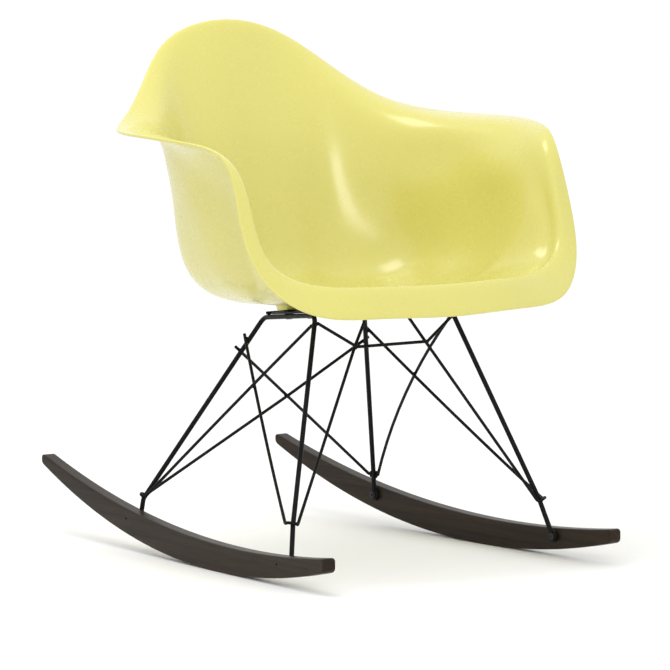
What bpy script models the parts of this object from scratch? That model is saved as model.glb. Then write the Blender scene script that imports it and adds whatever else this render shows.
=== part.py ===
"""Rocking armchair: a moulded shell on a bent-rod base with two wooden rockers.

Units are metres.  The chair faces -Y, up is +Z and the floor is z = 0.
The middle of the rockers' length and the middle plane of the chair meet at
the origin, so the right-hand side of a sitter is -X.
"""
import math

import bmesh
import bpy
import numpy as np
from mathutils import Matrix, Vector
from mathutils.bvhtree import BVHTree

# ---- overall sizes -------------------------------------------------------
SHELL_WIDTH = 0.655        # across the arms at their widest
SHELL_DEPTH = 0.575        # from the front lip to the back
SHELL_RISE = 0.388         # from the front lip's lower edge to the top of the back
SHELL_LIFT = 0.028         # front lip's lower edge above the rail's rear bend
SHELL_FRONT = -0.3425      # where the front lip stands along Y
SHELL_WALL = 0.0045        # thickness of the moulding
BASE_HEIGHT = 0.3440       # height of the rail's rear bend above the floor

# ---- rockers -------------------------------------------------------------
ROCKER_LENGTH = 0.779
ROCKER_THICK = 0.021
ROCKER_SPREAD = 0.2254     # middle plane to inner face where the rockers touch the floor
ROCKER_TOE = math.radians(2.9)
CONTACT_Y = -0.1035        # where the rockers touch the floor
SOLE_RADIUS = 1.248        # curve the chair rocks on
TOP_RADIUS = 1.950         # curve of the upper edge
TOP_LOW_Y = -0.1535        # lowest point of the upper edge
MID_HEIGHT = 0.039         # height of the upper edge at that point
TIP_ROUND = 0.006
ROCKER_BEVEL = 0.0018
SOLE_FACE = 0.025          # length of each flat face along the sole

# ---- rods ----------------------------------------------------------------
LEG_RADIUS = 0.0035
BRACE_RADIUS = 0.0023
GAP = 0.0003               # air between neighbouring solids
RAIL_REAR = (0.0889, 0.0007, BASE_HEIGHT)
RAIL_FRONT = (0.1177, -0.1683, BASE_HEIGHT + 0.0187)
RAIL_BEND = 0.016
REAR_EYE_Y = 0.1430
FRONT_EYE_Y = -0.2680
EYE_LIFT = 0.004           # eye above the middle of the rocker's height
REAR_KINK = (0.0028, -0.0035, 0.0277)   # leg bend from the rear eye: inward, back, up
FRONT_KINK = (0.0129, 0.0140, 0.0515)   # leg bend from the front eye: inward, back, up
EYE_THICK = 0.0046
EYE_RIM = 0.0033           # eye left standing round the bolt head
EYE_JOIN = 0.0009          # end of the leg's line outside the bolt head
BRACE_HIGH = 0.875         # rear-leg fraction where the front braces end
BRACE_CROSS = 0.81         # rear-leg fraction where the crossing braces end
BRACE_BOW = (0.0105, 0.005, 0.0062)   # bow of the long side braces: inward, back, up
FRONT_BRACE_BOW = (0.0012, 0.0040)   # bow of the outer front arms: outward, down
STUB = 0.009               # rod left standing past a weld
STRETCHER_CORNER = (0.0619, -0.1912, BASE_HEIGHT - 0.0274)
REAR_TIE_AT = 0.10         # rail fraction where the rear tie rod crosses over
HOOK_SIDE = 0.0110         # how far a front brace's hook stands out beside the leg
TIE_OVERRUN = 0.004
FRONT_TIE_HALF = 0.0300    # where the inner arms meet the front tie rod

# ---- seat fixings --------------------------------------------------------
MOUNT_FRACTIONS = (0.36, 0.78)   # along the rail, from its rear bend
BAR_WIDTH = 0.022
BAR_THICK = 0.003
BAR_ENDS = (0.17, 0.92)
PAD_RADIUS = 0.0135
PAD_THICK = 0.002
BOSS_RADIUS = 0.0165
BOSS_DRAFT = 0.0030
INSERT_RADIUS = 0.0045
INSERT_LENGTH = 0.0080
SCREW_RADIUS = 0.0028
SCREW_HEAD_RADIUS = 0.0055
SCREW_HEAD_HEIGHT = 0.0062
WASHER_RADIUS = 0.0068
WASHER_THICK = 0.0015
BOLT_RADIUS = 0.0026
BOLT_HEAD_RADIUS = 0.0052
BOLT_HEAD_HEIGHT = 0.0028
NUT_RADIUS = 0.0040
NUT_LENGTH = 0.012
VENT_RADIUS = 0.0015       # small hole from each nut's pocket to the rocker's outer face

# ---- shape of the shell --------------------------------------------------
# Six rings run round the shell from the middle of the front lip to the
# middle of the back.  Each point is (across, along, up): across in half
# widths, along from 0 at the lip to 1 at the back, up from 0 at the lip's
# lower edge to 1 at the top of the back.
RIM = (
    (0.000, 0.000, 0.000),   # middle of the front lip
    (0.382, 0.022, 0.006),   # lip, half way out
    (0.682, 0.070, 0.035),   # lip corner
    (0.836, 0.136, 0.152),   # foot of the arm's front edge
    (0.878, 0.203, 0.387),   # arm front edge
    (0.888, 0.274, 0.583),   # arm corner
    (0.959, 0.378, 0.626),   # top of the arm, front
    (1.000, 0.540, 0.639),   # top of the arm, widest
    (0.925, 0.692, 0.642),   # wing
    (0.696, 0.836, 0.693),   # wing, rising
    (0.521, 0.916, 0.800),   # shoulder
    (0.308, 0.986, 0.938),   # crown
    (0.000, 1.000, 1.000),   # middle of the back
)
ROLL = (
    (0.000, 0.038, 0.093),
    (0.366, 0.057, 0.098),
    (0.635, 0.110, 0.119),
    (0.776, 0.155, 0.200),
    (0.818, 0.207, 0.397),
    (0.837, 0.282, 0.562),
    (0.880, 0.391, 0.603),
    (0.840, 0.534, 0.618),
    (0.763, 0.661, 0.622),
    (0.611, 0.786, 0.652),
    (0.470, 0.878, 0.745),
    (0.290, 0.965, 0.892),
    (0.000, 0.984, 0.959),
)
WALL = (
    (0.000, 0.087, 0.090),
    (0.336, 0.099, 0.093),
    (0.580, 0.148, 0.106),
    (0.708, 0.197, 0.155),
    (0.757, 0.243, 0.291),
    (0.757, 0.313, 0.369),
    (0.751, 0.417, 0.369),
    (0.727, 0.534, 0.369),
    (0.655, 0.660, 0.369),
    (0.520, 0.760, 0.381),
    (0.372, 0.830, 0.433),
    (0.189, 0.861, 0.497),
    (0.000, 0.878, 0.523),
)
BEND = (
    (0.000, 0.157, 0.072),
    (0.290, 0.165, 0.075),
    (0.504, 0.209, 0.085),
    (0.617, 0.261, 0.106),
    (0.656, 0.313, 0.137),
    (0.672, 0.365, 0.144),
    (0.675, 0.443, 0.144),
    (0.656, 0.539, 0.144),
    (0.605, 0.652, 0.134),
    (0.470, 0.735, 0.139),
    (0.325, 0.778, 0.150),
    (0.159, 0.791, 0.165),
    (0.000, 0.800, 0.170),
)
SEAT = (
    (0.000, 0.287, 0.038),
    (0.214, 0.296, 0.038),
    (0.366, 0.322, 0.038),
    (0.458, 0.357, 0.034),
    (0.498, 0.391, 0.031),
    (0.519, 0.435, 0.029),
    (0.519, 0.487, 0.028),
    (0.498, 0.548, 0.022),
    (0.470, 0.625, 0.020),
    (0.365, 0.685, 0.020),
    (0.250, 0.715, 0.022),
    (0.122, 0.722, 0.038),
    (0.000, 0.725, 0.038),
)
FLARE = (
    (0.000, 0.060, 0.096),
    (0.352, 0.076, 0.100),
    (0.612, 0.127, 0.114),
    (0.748, 0.174, 0.178),
    (0.794, 0.222, 0.350),
    (0.797, 0.296, 0.490),
    (0.796, 0.404, 0.520),
    (0.768, 0.534, 0.523),
    (0.700, 0.655, 0.523),
    (0.552, 0.770, 0.530),
    (0.415, 0.852, 0.600),
    (0.240, 0.918, 0.720),
    (0.000, 0.937, 0.770),
)
SEAT_MIDDLE = (0.000, 0.513, 0.010)
RING_AT = (0.0, 0.32, 0.49, 0.70, 0.85, 0.93, 1.0)   # middle, seat, bend, wall, flare, roll, rim
SHELL_ROUND = 72           # faces round the shell
SHELL_OUT = 15             # faces from the middle to the rim


# ---- materials -----------------------------------------------------------
def material(name, colour, roughness, metallic=0.0):
    mat = bpy.data.materials.new(name)
    mat.use_nodes = True
    shader = mat.node_tree.nodes["Principled BSDF"]
    shader.inputs["Base Color"].default_value = (*colour, 1.0)
    shader.inputs["Roughness"].default_value = roughness
    shader.inputs["Metallic"].default_value = metallic
    return mat


# ---- general helpers -----------------------------------------------------
def new_object(name, mesh, mat=None):
    obj = bpy.data.objects.new(name, mesh)
    bpy.context.scene.collection.objects.link(obj)
    if mat is not None:
        mesh.materials.append(mat)
    return obj


def mesh_object(name, verts, faces, mat=None):
    mesh = bpy.data.meshes.new(name)
    mesh.from_pydata([tuple(v) for v in verts], [], faces)
    bm = bmesh.new()
    bm.from_mesh(mesh)
    bmesh.ops.recalc_face_normals(bm, faces=bm.faces)
    bm.to_mesh(mesh)
    bm.free()
    return new_object(name, mesh, mat)


def tool(obj):
    """Keep a cutting or joining solid in the file, out of sight."""
    obj.hide_render = True
    obj.hide_set(True)
    obj.display_type = "WIRE"
    return obj


def boolean(obj, other, operation):
    mod = obj.modifiers.new(operation.title(), "BOOLEAN")
    mod.operation = operation
    mod.solver = "EXACT"
    mod.object = other
    return mod


def frame_at(origin, axis, across=(0.0, 1.0, 0.0)):
    """A matrix whose Z runs along axis, placed at origin."""
    z = Vector(axis).normalized()
    x = Vector(across).cross(z)
    if x.length < 1e-6:
        x = Vector((1.0, 0.0, 0.0)).cross(z)
    x.normalize()
    y = z.cross(x)
    rot = Matrix((x, y, z)).transposed().to_4x4()
    return Matrix.Translation(Vector(origin)) @ rot


def turned(name, profile, place, sides=24, mat=None, closed=False):
    """A lathe solid from (radius, height) pairs; closed joins the last to the first."""
    verts = []
    faces = []
    rings = []
    for radius, height in profile:
        if radius < 1e-9:
            rings.append([len(verts)])
            verts.append(place @ Vector((0.0, 0.0, height)))
            continue
        start = len(verts)
        for k in range(sides):
            a = 2.0 * math.pi * k / sides
            verts.append(place @ Vector((radius * math.cos(a), radius * math.sin(a), height)))
        rings.append(list(range(start, start + sides)))
    pairs = list(zip(rings[:-1], rings[1:]))
    if closed:
        pairs.append((rings[-1], rings[0]))
    for low, high in pairs:
        for k in range(sides):
            n = (k + 1) % sides
            if len(low) == 1 and len(high) == 1:
                continue
            if len(low) == 1:
                faces.append((low[0], high[n], high[k]))
            elif len(high) == 1:
                faces.append((low[k], low[n], high[0]))
            else:
                faces.append((low[k], low[n], high[n], high[k]))
    return mesh_object(name, verts, faces, mat)


def rounded_path(corners, radius, step=math.radians(15)):
    """The corner points with each inner corner replaced by an arc."""
    pts = [Vector(c) for c in corners]
    out = [pts[0]]
    for before, here, after in zip(pts[:-2], pts[1:-1], pts[2:]):
        a = (before - here).normalized()
        b = (after - here).normalized()
        opening = a.angle(b)
        turn = math.pi - opening
        if turn < math.radians(2):
            out.append(here)
            continue
        back = radius * math.tan(turn / 2.0)
        back = min(back, 0.45 * (before - here).length, 0.45 * (after - here).length)
        bend = back / math.tan(turn / 2.0)
        centre = here + (a + b).normalized() * (bend / math.cos(turn / 2.0))
        start = here + a * back - centre
        axis = start.cross(here + b * back - centre).normalized()
        steps = max(2, math.ceil(turn / step))
        for k in range(steps + 1):
            out.append(centre + Matrix.Rotation(turn * k / steps, 3, axis) @ start)
    out.append(pts[-1])
    return out


def rod(name, points, radius, mat, resolution=2):
    """A round rod along the points, with flat closed ends."""
    curve = bpy.data.curves.new(name, "CURVE")
    curve.dimensions = "3D"
    curve.bevel_depth = radius
    curve.bevel_resolution = resolution
    curve.use_fill_caps = True
    spline = curve.splines.new("POLY")
    spline.points.add(len(points) - 1)
    for point, co in zip(spline.points, points):
        point.co = (*co, 1.0)
    obj = bpy.data.objects.new(name + "_path", curve)
    bpy.context.scene.collection.objects.link(obj)
    mesh = bpy.data.meshes.new_from_object(obj)
    bpy.data.objects.remove(obj)
    mesh.name = name
    bm = bmesh.new()
    bm.from_mesh(mesh)
    bmesh.ops.remove_doubles(bm, verts=bm.verts, dist=1e-6)
    bmesh.ops.recalc_face_normals(bm, faces=bm.faces)
    bm.to_mesh(mesh)
    bm.free()
    mesh.materials.clear()
    return new_object(name, mesh, mat)


def side_point(point, side):
    return Vector((point[0] * side, point[1], point[2]))


# ---- shell ---------------------------------------------------------------
def spline_through(knots, values, at):
    """Natural cubic spline through the values, read at the wanted places."""
    knots = np.asarray(knots, float)
    values = np.asarray(values, float)
    n = len(knots)
    gap = np.diff(knots)
    slope = np.diff(values, axis=0) / gap[:, None]
    system = np.eye(n)
    right = np.zeros_like(values)
    for i in range(1, n - 1):
        system[i, i - 1] = gap[i - 1]
        system[i, i] = 2.0 * (gap[i - 1] + gap[i])
        system[i, i + 1] = gap[i]
        right[i] = 6.0 * (slope[i] - slope[i - 1])
    bend = np.linalg.solve(system, right)
    at = np.asarray(at, float)
    i = np.clip(np.searchsorted(knots, at, side="right") - 1, 0, n - 2)
    h = gap[i][:, None]
    left = (knots[i + 1] - at)[:, None] / h
    rest = 1.0 - left
    curve = left * values[i] + rest * values[i + 1]
    return curve + ((left ** 3 - left) * bend[i] + (rest ** 3 - rest) * bend[i + 1]) * h * h / 6.0


def to_metres(rows):
    rows = np.asarray(rows, float)
    scale = np.array([SHELL_WIDTH / 2.0, SHELL_DEPTH, SHELL_RISE])
    return rows * scale + np.array([0.0, SHELL_FRONT, BASE_HEIGHT + SHELL_LIFT])


def ring_curve(rows, knots, at):
    """A closed ring mirrored about the middle plane, read at the wanted places."""
    half = to_metres(rows)
    mirror = half * np.array([-1.0, 1.0, 1.0])
    whole = np.vstack([half, mirror[-2:0:-1]])
    count = len(whole)
    lap = 2.0 * knots[-1]
    places = np.concatenate([knots, lap - knots[-2:0:-1]])
    wide = np.vstack([whole[-6:], whole, whole[:7]])
    wide_at = np.concatenate([places[-6:] - lap, places, places[:7] + lap])
    assert count == 2 * (len(knots) - 1)
    return spline_through(wide_at, wide, at)


def shell_surface(round_faces, out_faces):
    """Points of the sitting surface, as rows from the middle out to the rim."""
    rim = to_metres(RIM)
    step = np.linalg.norm(np.diff(rim, axis=0), axis=1)
    knots = np.concatenate([[0.0], np.cumsum(step)])
    at = np.linspace(0.0, 2.0 * knots[-1], round_faces, endpoint=False)
    rings = [ring_curve(rows, knots, at) for rows in (SEAT, BEND, WALL, FLARE, ROLL, RIM)]
    middle = np.repeat(to_metres([SEAT_MIDDLE]), round_faces, axis=0)
    stack = np.stack([middle] + rings)
    out = np.linspace(0.0, 1.0, out_faces + 1)[1:]
    surface = np.empty((out_faces, round_faces, 3))
    for k in range(round_faces):
        # run through the middle to the opposite side so the seat stays smooth
        other = (k + round_faces // 2) % round_faces
        line = np.vstack([stack[:0:-1, other], stack[:, k]])
        line_at = np.concatenate([-np.array(RING_AT[:0:-1]), RING_AT])
        surface[:, k] = spline_through(line_at, line, out)
    centre = to_metres([SEAT_MIDDLE])[0]
    return centre, surface


def shell_mesh(name, mat):
    centre, grid = shell_surface(SHELL_ROUND, SHELL_OUT)
    rows, cols, _ = grid.shape
    around = np.roll(grid, -1, axis=1) - np.roll(grid, 1, axis=1)
    outward = np.empty_like(grid)
    outward[1:-1] = grid[2:] - grid[:-2]
    outward[0] = grid[1] - centre
    outward[-1] = grid[-1] - grid[-2]
    normal = np.cross(outward, around)
    normal /= np.linalg.norm(normal, axis=2, keepdims=True)
    if normal[0, 0, 2] > 0.0:
        normal = -normal
    under = grid + normal * SHELL_WALL
    lip = outward[-1] / np.linalg.norm(outward[-1], axis=1, keepdims=True)
    edge = (grid[-1] + under[-1]) / 2.0 + lip * SHELL_WALL * 0.4
    low = centre + np.array([0.0, 0.0, -SHELL_WALL])
    verts = [centre] + list(grid.reshape(-1, 3)) + list(edge)
    base = 1 + rows * cols + cols
    verts += list(under.reshape(-1, 3)) + [low]
    last = len(verts) - 1
    faces = []
    for k in range(cols):
        n = (k + 1) % cols
        faces.append((0, 1 + k, 1 + n))
        faces.append((last, base + n, base + k))
        for r in range(rows - 1):
            a = 1 + r * cols
            b = base + r * cols
            faces.append((a + k, a + cols + k, a + cols + n, a + n))
            faces.append((b + k, b + n, b + cols + n, b + cols + k))
        top = 1 + (rows - 1) * cols
        mid = 1 + rows * cols
        bot = base + (rows - 1) * cols
        faces.append((top + k, mid + k, mid + n, top + n))
        faces.append((mid + k, bot + k, bot + n, mid + n))
    return mesh_object(name, verts, faces, mat)


# ---- places of the fixings ----------------------------------------------
def rail_frame(side):
    """Rail start, direction, inboard direction and upward direction."""
    start = side_point(RAIL_REAR, side)
    end = side_point(RAIL_FRONT, side)
    along = (end - start).normalized()
    inboard = Vector((-side, 0.0, 0.0))
    inboard = (inboard - along * inboard.dot(along)).normalized()
    up = along.cross(inboard)
    if up.z < 0.0:
        up = -up
    return start, (end - start), inboard, up


def mount_place(side, fraction):
    """Middle of the rail's height beside one seat fixing, with its upward axis."""
    start, run, inboard, up = rail_frame(side)
    return start + run * fraction + inboard * MOUNT_INSET, up


def mounts():
    for side, hand in ((-1, "right"), (1, "left")):
        for fraction, where in zip(MOUNT_FRACTIONS, ("rear", "front")):
            place, up = mount_place(side, fraction)
            yield f"{where}_{hand}", place, up


MOUNT_INSET = LEG_RADIUS + WASHER_RADIUS + GAP   # screw axis inboard of the rail
EYE_RADIUS = BOLT_HEAD_RADIUS + EYE_RIM
BAR_LOW = LEG_RADIUS + GAP
BAR_TOP = BAR_LOW + BAR_THICK
PAD_LOW = BAR_TOP + GAP
PAD_TOP = PAD_LOW + PAD_THICK
BOSS_LOW = PAD_TOP + GAP


def build_shell(mat):
    shell = shell_mesh("seat_shell", mat)
    seen = bmesh.new()
    seen.from_mesh(shell.data)
    tree = BVHTree.FromBMesh(seen)
    seen.free()
    verts = []
    faces = []
    sides = 24
    for _, place, up in mounts():
        frame = frame_at(place, up)
        base = len(verts)
        for k in range(sides):
            a = 2.0 * math.pi * k / sides
            turn = Vector((math.cos(a), math.sin(a), 0.0))
            low = frame @ (turn * BOSS_RADIUS + Vector((0.0, 0.0, BOSS_LOW)))
            wide = frame @ (turn * (BOSS_RADIUS + BOSS_DRAFT) + Vector((0.0, 0.0, BOSS_LOW)))
            hit = tree.ray_cast(wide, Vector((0.0, 0.0, 1.0)))[0]
            verts.append(low)
            verts.append(hit + Vector((0.0, 0.0, SHELL_WALL * 0.5)))
        middle = tree.ray_cast(frame @ Vector((0.0, 0.0, BOSS_LOW)), Vector((0.0, 0.0, 1.0)))[0]
        verts.append(middle + Vector((0.0, 0.0, SHELL_WALL * 0.5)))
        top = len(verts) - 1
        faces.append([base + 2 * k for k in range(sides)][::-1])
        for k in range(sides):
            n = (k + 1) % sides
            faces.append((base + 2 * k, base + 2 * n, base + 2 * n + 1, base + 2 * k + 1))
            faces.append((base + 2 * k + 1, base + 2 * n + 1, top))
    bosses = tool(mesh_object("boss_solids", verts, faces))
    boolean(shell, bosses, "UNION")
    verts = []
    faces = []
    for _, place, up in mounts():
        frame = frame_at(place, up)
        base = len(verts)
        for k in range(sides):
            a = 2.0 * math.pi * k / sides
            radius = INSERT_RADIUS + GAP
            for height in (BOSS_LOW - 0.002, BOSS_LOW + INSERT_LENGTH + GAP):
                verts.append(frame @ Vector((radius * math.cos(a), radius * math.sin(a), height)))
        faces.append([base + 2 * k for k in range(sides)][::-1])
        faces.append([base + 2 * k + 1 for k in range(sides)])
        for k in range(sides):
            n = (k + 1) % sides
            faces.append((base + 2 * k, base + 2 * n, base + 2 * n + 1, base + 2 * k + 1))
    bores = tool(mesh_object("insert_bores", verts, faces))
    boolean(shell, bores, "DIFFERENCE")
    return shell


# ---- rockers -------------------------------------------------------------
def sole_height(y):
    return SOLE_RADIUS - math.sqrt(SOLE_RADIUS ** 2 - (y - CONTACT_Y) ** 2)


def top_height(y):
    return MID_HEIGHT + TOP_RADIUS - math.sqrt(TOP_RADIUS ** 2 - (y - TOP_LOW_Y) ** 2)


def rocker_place(side):
    """Rocker coordinates to the chair's: x outward from the inner face, y and z as drawn."""
    shift = Matrix.Translation((side * ROCKER_SPREAD, CONTACT_Y, 0.0))
    turn = Matrix.Rotation(side * ROCKER_TOE, 4, "Z")
    back = Matrix.Translation((0.0, -CONTACT_Y, 0.0))
    return shift @ turn @ back


def rocker_outline():
    """Side view of a rocker: along the sole, round the tip and back along the top."""
    low = -ROCKER_LENGTH / 2.0
    high = ROCKER_LENGTH / 2.0
    inner_low = low + TIP_ROUND
    inner_high = high - TIP_ROUND
    # a face of the sole lies level, centred on the line that touches the floor
    ahead = round((CONTACT_Y - inner_low) / SOLE_FACE)
    behind = round((inner_high - CONTACT_Y) / SOLE_FACE)
    span = [inner_low]
    span += [CONTACT_Y + (k + 0.5) * SOLE_FACE for k in range(-ahead, behind)]
    span = [y for y in span if y < inner_high - SOLE_FACE / 3.0] + [inner_high]
    if span[1] - span[0] < SOLE_FACE / 3.0:
        span.pop(1)
    sole = [(y, sole_height(y)) for y in span]
    top = [(y, top_height(y)) for y in reversed(span)]
    rear = [(high, sole_height(high) + TIP_ROUND * 0.75), (high, top_height(high) - TIP_ROUND * 0.75)]
    front = [(low, top_height(low) - TIP_ROUND * 0.75), (low, sole_height(low) + TIP_ROUND * 0.75)]
    return sole + rear + top + front


def build_rocker(side, hand, mat):
    outline = rocker_outline()
    count = len(outline)
    verts = []
    for x in (0.0, ROCKER_THICK):
        verts += [(side * x, y, z) for y, z in outline]
    faces = [list(range(count)), list(range(count, 2 * count))[::-1]]
    for k in range(count):
        n = (k + 1) % count
        faces.append((k, count + k, count + n, n))
    rocker = mesh_object(f"rocker_{hand}", verts, faces, mat)
    rocker.data.transform(rocker_place(side))
    bevel = rocker.modifiers.new("Edges", "BEVEL")
    bevel.width = ROCKER_BEVEL
    bevel.segments = 2
    bevel.limit_method = "ANGLE"
    bevel.angle_limit = math.radians(60)
    wide = NUT_RADIUS + GAP
    deep = NUT_LENGTH + GAP
    for index, (y, z) in enumerate((rear_eye(), front_eye())):
        axis_place = rocker_place(side) @ frame_at((0.0, y, z), (side, 0.0, 0.0), (0.0, 0.0, 1.0))
        profile = ((0.0, -0.002), (wide, -0.002), (wide, deep), (VENT_RADIUS, deep),
                   (VENT_RADIUS, ROCKER_THICK + 0.002), (0.0, ROCKER_THICK + 0.002))
        bore = tool(turned(f"rocker_bore_{hand}_{index}", profile, axis_place))
        boolean(rocker, bore, "DIFFERENCE")
    return rocker


def rear_eye():
    return REAR_EYE_Y, (sole_height(REAR_EYE_Y) + top_height(REAR_EYE_Y)) / 2.0 + EYE_LIFT


def front_eye():
    return FRONT_EYE_Y, (sole_height(FRONT_EYE_Y) + top_height(FRONT_EYE_Y)) / 2.0 + EYE_LIFT


def eye_point(side, eye, inset):
    """A point beside the rocker's inner face, inset toward the middle of the chair."""
    y, z = eye
    return rocker_place(side) @ Vector((-side * inset, y, z))


# ---- rods ----------------------------------------------------------------
def leg_corners(side):
    """Corner points of a bent side rod from its rear end to its front end."""
    inset = LEG_RADIUS + GAP
    rear = eye_point(side, rear_eye(), inset)
    front = eye_point(side, front_eye(), inset)
    rear_kink = rear + side_point(REAR_KINK, -side)
    front_kink = front + side_point(FRONT_KINK, -side)
    rear_end = rear + (rear_kink - rear).normalized() * (BOLT_HEAD_RADIUS + EYE_JOIN)
    front_end = front + (front_kink - front).normalized() * (BOLT_HEAD_RADIUS + EYE_JOIN)
    top_rear = side_point(RAIL_REAR, side)
    top_front = side_point(RAIL_FRONT, side)
    return [rear_end, rear_kink, top_rear, top_front, front_kink, front_end]


def build_side_rod(side, hand, mat):
    path = rounded_path(leg_corners(side), RAIL_BEND)
    frame = rod(f"side_rod_{hand}", path, LEG_RADIUS, mat, 4)
    for eye, where in ((rear_eye(), "rear"), (front_eye(), "front")):
        middle = eye_point(side, eye, EYE_THICK + GAP)
        axis = rocker_place(side).to_3x3() @ Vector((side, 0.0, 0.0))
        place = frame_at(middle, axis, (0.0, 0.0, 1.0))
        profile = ((0.0, 0.0), (EYE_RADIUS, 0.0), (EYE_RADIUS, EYE_THICK), (0.0, EYE_THICK))
        boolean(frame, tool(turned(f"eye_{where}_{hand}", profile, place)), "UNION")
        radius = BOLT_RADIUS + GAP
        profile = ((0.0, -0.004), (radius, -0.004), (radius, 0.01), (0.0, 0.01))
        boolean(frame, tool(turned(f"eye_bore_{where}_{hand}", profile, place)), "DIFFERENCE")
    return frame


BESIDE = LEG_RADIUS + BRACE_RADIUS + GAP


def wrapped_brace(leg_at, leg_dir, end_a, end_b, hook_side=0.0, bow=None):
    """Path of a brace that hooks round a leg, wide on the side of end_a, and runs on to two ends."""
    leg_dir = leg_dir.normalized()
    arm_a = (end_a - leg_at).normalized()
    arm_b = (end_b - leg_at).normalized()
    ahead = arm_a + arm_b
    ahead = (ahead - leg_dir * ahead.dot(leg_dir)).normalized()
    aside = leg_dir.cross(ahead).normalized()
    if aside.dot(arm_a - arm_b) < 0.0:
        aside = -aside
    away = BESIDE * 1.06
    wide = max(away, hook_side)
    hook_a = [leg_at + aside * wide, leg_at + aside * wide * 0.8 - ahead * away]
    hook_b = [leg_at - aside * away * 0.8 - ahead * away, leg_at - aside * away]
    start = [end_a]
    if bow is not None:
        for k in (0.8, 0.6, 0.4, 0.2):
            point = hook_a[0].lerp(end_a, k)
            start.append(point + bow * 4.0 * k * (1.0 - k))
    return start + hook_a + hook_b + [end_b]


def on_rear_leg(side, fraction):
    corners = leg_corners(side)
    return corners[1].lerp(corners[2], fraction), corners[2] - corners[1]


def on_front_leg(side, fraction):
    corners = leg_corners(side)
    return corners[4].lerp(corners[3], fraction), corners[3] - corners[4]


def past(start, end, extra):
    """The end point carried a little further from the start."""
    return end + (end - start).normalized() * extra


def build_front_brace(side, hand, mat):
    leg, leg_dir = on_front_leg(side, 0.0)
    rear_top, rear_dir = on_rear_leg(side, BRACE_HIGH)
    aside = (leg - rear_top).cross(rear_dir).normalized()
    if aside.x * side < 0.0:
        aside = -aside
    outer = past(leg, rear_top + aside * BESIDE, STUB)
    corner = side_point(STRETCHER_CORNER, side)
    tie = front_tie_point()
    top = Vector((side * FRONT_TIE_HALF, tie.y - 2.0 * BRACE_RADIUS - 2.0 * GAP, tie.z))
    passing = corner + Vector((0.0, 2.0 * BRACE_RADIUS + 2.0 * GAP, 0.0))
    bow = Vector((side * FRONT_BRACE_BOW[0], 0.0, -FRONT_BRACE_BOW[1]))
    path = wrapped_brace(leg, leg_dir, outer, passing, HOOK_SIDE, bow)
    return rod(f"front_brace_{hand}", rounded_path(path + [top], 0.0045), BRACE_RADIUS, mat)


def build_rear_brace(side, hand, mat):
    leg, leg_dir = on_rear_leg(side, 0.012)
    front_top, front_dir = on_front_leg(side, 0.955)
    back = Vector((0.0, 1.0, 0.0))
    back = (back - front_dir * (back.dot(front_dir) / front_dir.length_squared)).normalized()
    long_end = front_top + back * BESIDE * 1.1
    other, other_dir = on_rear_leg(-side, BRACE_CROSS)
    behind = (other - leg).cross(other_dir).normalized()
    if behind.y < 0.0:
        behind = -behind
    cross_end = past(leg, other + behind * BESIDE, STUB)
    bow = Vector((-side * BRACE_BOW[0], BRACE_BOW[1], BRACE_BOW[2]))
    path = wrapped_brace(leg, leg_dir, long_end, cross_end, 0.0, bow)
    # the two crossing arms pass each other on the middle plane
    start = path[-2]
    middle = start.lerp(cross_end, start.x / (start.x - cross_end.x))
    path.insert(-1, middle + behind * (side * (BRACE_RADIUS + GAP)))
    return rod(f"rear_brace_{hand}", rounded_path(path, 0.0045), BRACE_RADIUS, mat)


def rear_tie_point():
    """Where the rear tie rod passes over the left rail."""
    spot = Vector(RAIL_REAR).lerp(Vector(RAIL_FRONT), REAR_TIE_AT)
    return spot + Vector((0.0, 0.0, BESIDE * 1.03))


def front_tie_point():
    """Where the front tie rod rests on the outside of the left rod's front bend."""
    corner = Vector(RAIL_FRONT)
    a = (Vector(RAIL_REAR) - corner).normalized()
    b = (on_front_leg(1, 0.0)[0] - corner).normalized()
    half_turn = (math.pi - a.angle(b)) / 2.0
    inward = (a + b).normalized()
    cut = RAIL_BEND * (1.0 / math.cos(half_turn) - 1.0)
    return corner + inward * (cut - BESIDE * 1.06)


def build_ties(mat):
    for name, point in (("front_tie_rod", front_tie_point()), ("rear_tie_rod", rear_tie_point())):
        x, y, z = point
        half = x + TIE_OVERRUN
        rod(name, [Vector((-half, y, z)), Vector((half, y, z))], BRACE_RADIUS, mat)
    ends = []
    for side in (-1, 1):
        spot, _ = on_front_leg(side, 0.965)
        ends.append(spot + Vector((0.0, -BESIDE * 1.02, 0.0)))
    corners = [side_point(STRETCHER_CORNER, side) for side in (-1, 1)]
    path = rounded_path([ends[0], corners[0], corners[1], ends[1]], 0.010)
    rod("front_stretcher", path, BRACE_RADIUS, mat)


def build_bar(side, hand, mat):
    start, run, inboard, up = rail_frame(side)
    a = start + run * BAR_ENDS[0]
    b = start + run * BAR_ENDS[1]
    inner = MOUNT_INSET + BAR_WIDTH / 2.0 - 0.002
    outer = inner - BAR_WIDTH
    verts = []
    for end in (a, b):
        for x in (outer, inner):
            for height in (BAR_LOW, BAR_TOP):
                verts.append(end + inboard * x + up * height)
    faces = [(0, 1, 3, 2), (4, 6, 7, 5), (0, 4, 5, 1), (2, 3, 7, 6), (0, 2, 6, 4), (1, 5, 7, 3)]
    bar = mesh_object(f"mount_bar_{hand}", verts, faces, mat)
    bevel = bar.modifiers.new("Corners", "BEVEL")
    bevel.width = 0.0008
    bevel.segments = 1
    for fraction, where in zip(MOUNT_FRACTIONS, ("rear", "front")):
        place, axis = mount_place(side, fraction)
        radius = SCREW_RADIUS + GAP
        profile = ((0.0, 0.0), (radius, 0.0), (radius, 0.02), (0.0, 0.02))
        cutter = turned(f"bar_bore_{where}_{hand}", profile, frame_at(place, axis))
        boolean(bar, tool(cutter), "DIFFERENCE")
    return bar


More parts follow.
